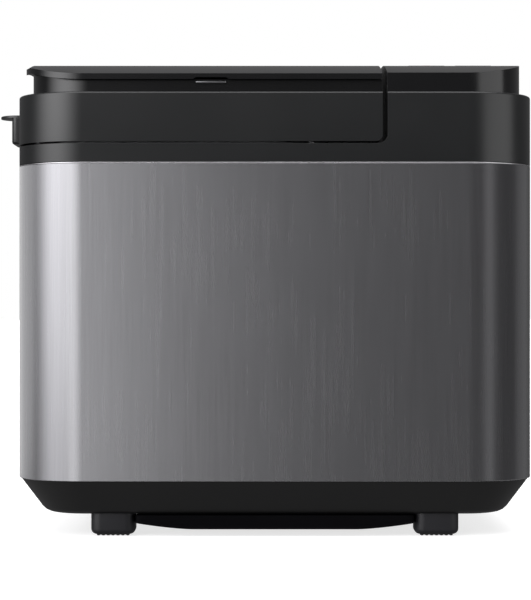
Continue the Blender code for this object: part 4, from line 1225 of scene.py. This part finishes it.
def tub(inset, low, high, floor_radius):
    """A deep block with a rounded floor edge."""
    x, y = HALF_CHAMBER[0] - inset, HALF_CHAMBER[1] - inset
    work = block((CHAMBER_X - x, -y, low), (CHAMBER_X + x, y, high), 0.028 - inset, steps=14)
    edges = [e for e in work.edges if all(abs(v.co.z - low) < 1e-6 for v in e.verts)]
    bmesh.ops.bevel(
        work, geom=edges, offset=floor_radius, segments=5, affect="EDGES", profile=0.5, material=-1
    )
    return work


flange = block((CHAMBER_X - 0.0975, -0.1135, 0.2900), (CHAMBER_X + 0.0975, 0.1135, 0.2912), 0.0355, steps=14)
probe_low, probe_high = local_box("temperature_sensor")
probe_y, probe_z = (probe_low.y + probe_high.y) / 2, (probe_low.z + probe_high.z) / 2
holes = [
    bar_work(0.006, (CHAMBER_X, 0, 0.060), (CHAMBER_X, 0, 0.075), 32),
    bar_work(0.0056, (0, probe_y, probe_z), (0.03, probe_y, probe_z), 32),
]
holes += [bar_work(0.0042, (0, y, 0.084), (0.03, y, 0.084), 24) for y in (0.040, 0.062)]
liner = carve("liner", tub(0.0, 0.068, 0.2906, 0.008), [
    ("UNION", flange),
    ("DIFFERENCE", tub(0.0012, 0.0692, 0.30, 0.0070)),
    *[("DIFFERENCE", hole) for hole in holes],
])
piece(
    "chamber_tub",
    liner,
    "housing",
    chamber_steel,
    ["chamber_liner"],
    edge=0.0003,
    edge_steps=2,
    sharp=40,
)


# %% [markdown]
# ## Tubes and wires
# The heating element and the pan's handle are bent bars. A curve with a round bevel sweeps the section
# along a path of straight runs and arcs, and the result is turned into a mesh.


# %% Swept bars
def arc_points(x, y, radius, start, end, steps=12):
    angles = [math.radians(start + (end - start) * n / steps) for n in range(steps + 1)]
    return [(x + radius * math.cos(a), y + radius * math.sin(a)) for a in angles]


def swept(points, radius, resolution=5):
    """A round bar along points, as a bmesh."""
    curve = bpy.data.curves.new("sweep", "CURVE")
    curve.dimensions = "3D"
    curve.bevel_depth = radius
    curve.bevel_resolution = resolution
    curve.use_fill_caps = True
    spline = curve.splines.new("POLY")
    spline.points.add(len(points) - 1)
    for point, at in zip(spline.points, points):
        point.co = (*at, 1)
    temporary = bpy.data.objects.new("sweep", curve)
    bpy.context.scene.collection.objects.link(temporary)
    bpy.context.view_layer.update()
    mesh = bpy.data.meshes.new_from_object(temporary.evaluated_get(bpy.context.evaluated_depsgraph_get()))
    work = bmesh.new()
    work.from_mesh(mesh)
    bpy.data.objects.remove(temporary)
    bpy.data.curves.remove(curve)
    bpy.data.meshes.remove(mesh)
    bmesh.ops.remove_doubles(work, verts=work.verts, dist=1e-6)
    return work


half_x, half_y, bend = 0.080, 0.097, 0.020
side = CHAMBER_X + half_x
loop = arc_points(side - bend, half_y - bend, bend, 0, 90)
loop += arc_points(CHAMBER_X - half_x + bend, half_y - bend, bend, 90, 180)
loop += arc_points(CHAMBER_X - half_x + bend, bend - half_y, bend, 180, 270)
loop += arc_points(side - bend, bend - half_y, bend, 270, 360)
route = [
    (0.034, 0.062),
    *arc_points(side + 0.006, 0.068, 0.006, 270, 180, 5),
    *loop,
    *arc_points(side + 0.006, 0.034, 0.006, 180, 90, 5),
    (0.034, 0.040),
]
piece(
    "element_loop",
    swept([(x, y, 0.084) for x, y in route], 0.0033),
    "housing",
    element_tube,
    ["heating_element"],
    sharp=60,
)

clips = []
for x, y in ((CHAMBER_X, -0.097), (CHAMBER_X, 0.097), (CHAMBER_X - 0.080, 0.0)):
    along = (0.004, 0.0052) if y else (0.0052, 0.004)
    clips.append(
        block((x - along[0], y - along[1], 0.0692), (x + along[0], y + along[1], 0.0712), 0.0015, steps=3)
    )
    clip_low = (x - along[0] * 0.7, y - along[1] * 0.7, 0.0692)
    clip_high = (x + along[0] * 0.7, y + along[1] * 0.7, 0.0880)
    clips.append(block(clip_low, clip_high, 0.001, steps=3, rim=0.0012, rim_steps=3))
piece("element_clips", gather(*clips), "housing", plain_steel, edge=0.0002, edge_steps=2)

# %% [markdown]
# ## The bread pan
# The pan is deep-drawn aluminium with a non-stick coat. Its walls lean out a little so that the loaf slides
# free, the rim is rolled over, and a skirt under the floor turns into the socket in the chamber. The wire
# handle's eyes hang on two studs.

# %% Pan
PAN_HALF = (0.066, 0.092)
PAN_FLOOR, PAN_RIM = 0.0920, 0.2115


def pan_body(inset, low, high, floor_radius):
    """A leaning tub: points move inwards the lower they are."""
    x, y = PAN_HALF[0] - inset, PAN_HALF[1] - inset
    work = block((CHAMBER_X - x, -y, low), (CHAMBER_X + x, y, high), 0.0215 - inset, steps=12)
    edges = [e for e in work.edges if all(abs(v.co.z - low) < 1e-6 for v in e.verts)]
    bmesh.ops.bevel(
        work, geom=edges, offset=floor_radius, segments=6, affect="EDGES", profile=0.5, material=-1
    )
    for vert in work.verts:
        lean = 0.0052 * (PAN_RIM - vert.co.z) / (PAN_RIM - PAN_FLOOR)
        vert.co.x -= math.copysign(lean, vert.co.x - CHAMBER_X)
        vert.co.y -= math.copysign(lean, vert.co.y)
    return work


def ring_work(inner, outer, low, high, x=None, y=0.0, steps=48):
    """A tube about an upright axis, spun from its square section."""
    x = CHAMBER_X if x is None else x
    work = bmesh.new()
    section = [
        work.verts.new((x + r, y, z)) for r, z in ((inner, low), (outer, low), (outer, high), (inner, high))
    ]
    face = work.faces.new(section)
    bmesh.ops.spin(
        work, geom=[
            face, *face.edges, *face.verts
        ], cent=(x, y, 0), axis=(0, 0, 1), angle=math.tau, steps=steps, use_merge=True
    )
    bmesh.ops.remove_doubles(work, verts=work.verts, dist=1e-6)
    inside = [
        f for f in work.faces
        if abs(f.normal.z) < 1e-3
        and len(set(round(math.hypot(v.co.x - x, v.co.y - y), 5) for v in f.verts)) > 1
    ]
    bmesh.ops.delete(work, geom=inside, context="FACES_ONLY")
    bmesh.ops.recalc_face_normals(work, faces=work.faces)
    return work


rim_outer = block(
    (CHAMBER_X - 0.0693, -0.0953, 0.2096), (CHAMBER_X + 0.0693, 0.0953, PAN_RIM), 0.0248, steps=12
)
tub_work = carve("pan", pan_body(0.0, PAN_FLOOR, PAN_RIM - 0.0002, 0.008), [
    ("UNION", rim_outer),
    ("DIFFERENCE", pan_body(0.0015, PAN_FLOOR + 0.0015, PAN_RIM + 0.02, 0.007)),
    ("DIFFERENCE", bar_work(0.0102, (CHAMBER_X, 0, 0.08), (CHAMBER_X, 0, 0.10), 32)),
])
piece("pan_tub", tub_work, "pan", pan_coat, ["bread_pan"], edge=0.0006, sharp=38)
studs = [ring_work(0.0275, 0.0300, 0.0728, 0.0926)]
for way in (-1, 1):
    low = min(way * 0.0895, way * 0.0970)
    studs.append(block((CHAMBER_X - 0.008, low, 0.1940), (CHAMBER_X + 0.008, low + 0.0075, 0.2085), 0.0))
    studs.append(bar_work(0.0025, (CHAMBER_X, way * 0.0955, 0.202), (CHAMBER_X, way * 0.1014, 0.202), 20))
    studs.append(bar_work(0.0042, (CHAMBER_X, way * 0.1014, 0.202), (CHAMBER_X, way * 0.1022, 0.202), 20))
piece("pan_studs", gather(*studs), "pan", plain_steel, edge=0.0004, edge_steps=2)

# %% Pan handle
eye_y, reach, bend = 0.0992, 0.079, 0.014
tip = CHAMBER_X + reach
arm = [
    (CHAMBER_X + 0.0040, -eye_y),
    *arc_points(tip - bend, bend - eye_y, bend, -90, 0),
    *arc_points(tip - bend, eye_y - bend, bend, 0, 90),
    (CHAMBER_X + 0.0040, eye_y),
]
wire = [swept([(x, y, 0.202) for x, y in arm], 0.0018)]
for way in (-1, 1):
    eye = ring_work(0.0029, 0.0055, -0.0016, 0.0016, 0.0, 0.0, 28)
    bmesh.ops.rotate(eye, verts=eye.verts, cent=(0, 0, 0), matrix=Matrix.Rotation(math.radians(90), 3, "X"))
    bmesh.ops.translate(eye, verts=eye.verts, vec=(CHAMBER_X, way * 0.0992, 0.202))
    wire.append(eye)
piece("pan_wire", gather(*wire), "pan_bail", turned_steel, ["pan_handle"], sharp=50)

# %% [markdown]
# ## The kneading blade
# The blade is a leaning wing on a hub. It starts as a block cut into short lengths, whose points are then
# bent back and thinned towards the tip. Subdivision rounds it into the soft form of a coated casting.

# %% Blade
wing = block((CHAMBER_X + 0.004, -0.0024, 0.0990), (CHAMBER_X + 0.0485, 0.0024, 0.1190), 0.0)
for n in range(1, 9):
    everything = wing.verts[:] + wing.edges[:] + wing.faces[:]
    bmesh.ops.bisect_plane(
        wing, geom=everything, plane_co=(CHAMBER_X + 0.004 + n * 0.0049, 0, 0), plane_no=(1, 0, 0)
    )
for level in (0.1040, 0.1090, 0.1140):
    everything = wing.verts[:] + wing.edges[:] + wing.faces[:]
    bmesh.ops.bisect_plane(wing, geom=everything, plane_co=(0, 0, level), plane_no=(0, 0, 1))
for vert in wing.verts:
    out = (vert.co.x - CHAMBER_X) / 0.0485
    vert.co.y *= 1.0 - 0.45 * out
    if vert.co.z > 0.112:
        vert.co.z += 0.0046 * math.sin(math.pi * min(1.0, out * 1.05))
    vert.co.y += 0.0035 * (vert.co.z - 0.109) / 0.010 * out
heel = block((CHAMBER_X - 0.0215, -0.0028, 0.0990), (CHAMBER_X - 0.004, 0.0028, 0.1095), 0.0, rim=0.0015)
blade = piece(
    "blade_wing", gather(wing, heel), "blade", pan_coat, ["kneading_blade"], sharp=180
)
soft = blade.modifiers.new("Soft", "SUBSURF")
soft.levels = soft.render_levels = 2
hub = ring_work(0.0043, 0.0094, 0.0986, 0.1198, steps=40)
piece("blade_hub", hub, "blade", pan_coat, edge=0.0008)

# %% [markdown]
# ## Under the lid
# Opening the lid shows a pressed steel plate, the silicone gasket that seals the chamber, the flap that
# drops the nuts and the yeast valve. Screws hold the plate, and each has a cross recess.

# %% Inner cover
cover_low, cover_high = local_box("lid_inner_cover")
plate = block(
    (cover_low.x, cover_low.y, cover_low.z), (cover_high.x, cover_high.y, cover_high.z), 0.040, steps=14
)
steam = gather(
    *[block((x - 0.0015, 0.056, 0.29), (x + 0.0015, 0.074, 0.31), 0.0014, steps=3) for x in slot_x]
)
plate = carve("plate", plate, [
    (
        "DIFFERENCE",
        box_work((nut_low[0] - MIDDLE_X, nut_low[1], 0.29), (nut_high[0] - MIDDLE_X, nut_high[1], 0.31)),
    ),
    ("DIFFERENCE", bar_work(0.015, (yeast_x, 0, 0.29), (yeast_x, 0, 0.31), 40)),
    ("DIFFERENCE", steam),
])
piece("lid_plate", plate, "lid", chamber_steel, ["lid_inner_cover"], edge=0.0003, edge_steps=2)


def screw(x, y, z, radius, way):
    """A pan-head screw with a cross recess, whose head looks up (1) or down (-1)."""
    head = bar_work(radius, (x, y, z), (x, y, z + way * 0.0017), 20)
    rim = [e for e in head.edges if all(abs(v.co.z - (z + way * 0.0017)) < 1e-6 for v in e.verts)]
    bmesh.ops.bevel(head, geom=rim, offset=0.0007, segments=3, affect="EDGES", profile=0.5, material=-1)
    deep = sorted((z + way * 0.0009, z + way * 0.0022))
    one = box_work((x - radius * 0.6, y - 0.0004, deep[0]), (x + radius * 0.6, y + 0.0004, deep[1]))
    two = box_work((x - 0.0004, y - radius * 0.6, deep[0]), (x + 0.0004, y + radius * 0.6, deep[1]))
    return carve("screw", head, [("DIFFERENCE", one), ("DIFFERENCE", two)])


heads = [screw(CHAMBER_X + sx * 0.1025, sy * 0.097, 0.2976, 0.0032, -1) for sx in (-1, 1) for sy in (-1, 1)]
piece("lid_screws", gather(*heads), "lid", plain_steel)

# %% Gasket
seal_low, seal_high = local_box("lid_gasket")
seal = block((seal_low.x, seal_low.y, seal_low.z), (seal_high.x, seal_high.y, seal_high.z), 0.0345, steps=14)
inner = block(
    (seal_low.x + 0.0045, seal_low.y + 0.0045, 0.28),
    (seal_high.x - 0.0045, seal_high.y - 0.0045, 0.31),
    0.030,
    steps=14,
)
groove_out = block(
    (seal_low.x + 0.0016, seal_low.y + 0.0016, 0.2900),
    (seal_high.x - 0.0016, seal_high.y - 0.0016, 0.2930),
    0.0329,
    steps=14,
)
groove_in = block(
    (seal_low.x + 0.0029, seal_low.y + 0.0029, 0.2890),
    (seal_high.x - 0.0029, seal_high.y - 0.0029, 0.2940),
    0.0316,
    steps=14,
)
groove = carve("groove", groove_out, [("DIFFERENCE", groove_in)])
seal = carve("seal", seal, [("DIFFERENCE", inner), ("DIFFERENCE", groove)])
piece("lid_seal", seal, "lid", grey_silicone, ["lid_gasket"], edge=0.0004, edge_steps=2)

# %% Dispensers
nut_low, nut_high = local_box("nut_dispenser")
shell = block(nut_low, nut_high, 0.0, steps=4)
inside = block(
    (nut_low.x + 0.0018, nut_low.y + 0.0018, 0.29),
    (nut_high.x - 0.0018, nut_high.y - 0.0018, 0.36),
    0.003,
    steps=4,
)
piece(
    "nut_box",
    carve("nut_box", shell, [("DIFFERENCE", inside)]),
    "lid",
    pale_nylon,
    ["nut_dispenser"],
    edge=0.0004,
)
cup_low, cup_high = local_box("yeast_cup")
piece(
    "yeast_tube",
    ring_work(0.0124, 0.0140, cup_low.z, cup_high.z, yeast_x, 0.0, 48),
    "lid",
    pale_nylon,
    ["yeast_cup"],
    edge=0.0004,
)
flap_low, flap_high = local_box("dispenser_flap")
flap = [
    block((flap_low.x + 0.0013, flap_low.y + 0.002, 0.3028), (flap_high.x, flap_high.y - 0.002, 0.3042), 0.0)
]
flap.append(bar_work(0.0013, (-0.0935, flap_low.y, 0.3035), (-0.0935, flap_high.y, 0.3035), 20))
flap += [
    block((-0.088, y - 0.0006, 0.3040), (-0.022, y + 0.0006, 0.3056), 0.0)
    for y in (-0.030, -0.005, 0.020)
]
piece(
    "nut_flap",
    gather(*flap),
    "flap",
    pale_nylon,
    ["dispenser_flap"],
    edge=0.0003,
    edge_steps=2,
)

# %% [markdown]
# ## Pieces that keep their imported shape
# The frame, the drive, the boards and the small fittings are already the right shape. They only need their
# finishes.

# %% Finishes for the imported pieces
kept = {
    "cord_gland": pad_rubber, "chassis_plate": plain_steel, "hinge_bracket": plain_steel,
    "lid_hinge_pin": turned_steel, "pan_socket": chamber_steel, "sensor_housing": pale_nylon,
    "temperature_sensor": turned_steel, "heat_shield": chamber_steel, "bearing_housing": plain_steel,
    "shaft_bush": bush_bronze, "drive_shaft": turned_steel, "drive_coupling": turned_steel,
    "driven_pulley": pale_nylon, "motor_can": plain_steel, "motor_stator": laminated_steel,
    "motor_shaft": turned_steel, "motor_rotor": laminated_steel, "motor_pulley": pale_nylon,
    "motor_fan": pale_nylon, "drive_belt": belt_rubber, "power_board": circuit_green,
    "control_board": circuit_green, "motor_capacitor": plain_steel, "pan_bush": bush_bronze,
    "pan_shaft": turned_steel, "pan_coupling": turned_steel, "steam_duct": grey_silicone,
    "flap_solenoid": laminated_steel, "flap_latch": plain_steel, "yeast_valve": grey_silicone,
}
for node, finish in kept.items():
    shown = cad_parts[node]
    shown.data.materials.clear()
    shown.data.materials.append(finish.material)
print("finished", len(kept), "packed pieces")
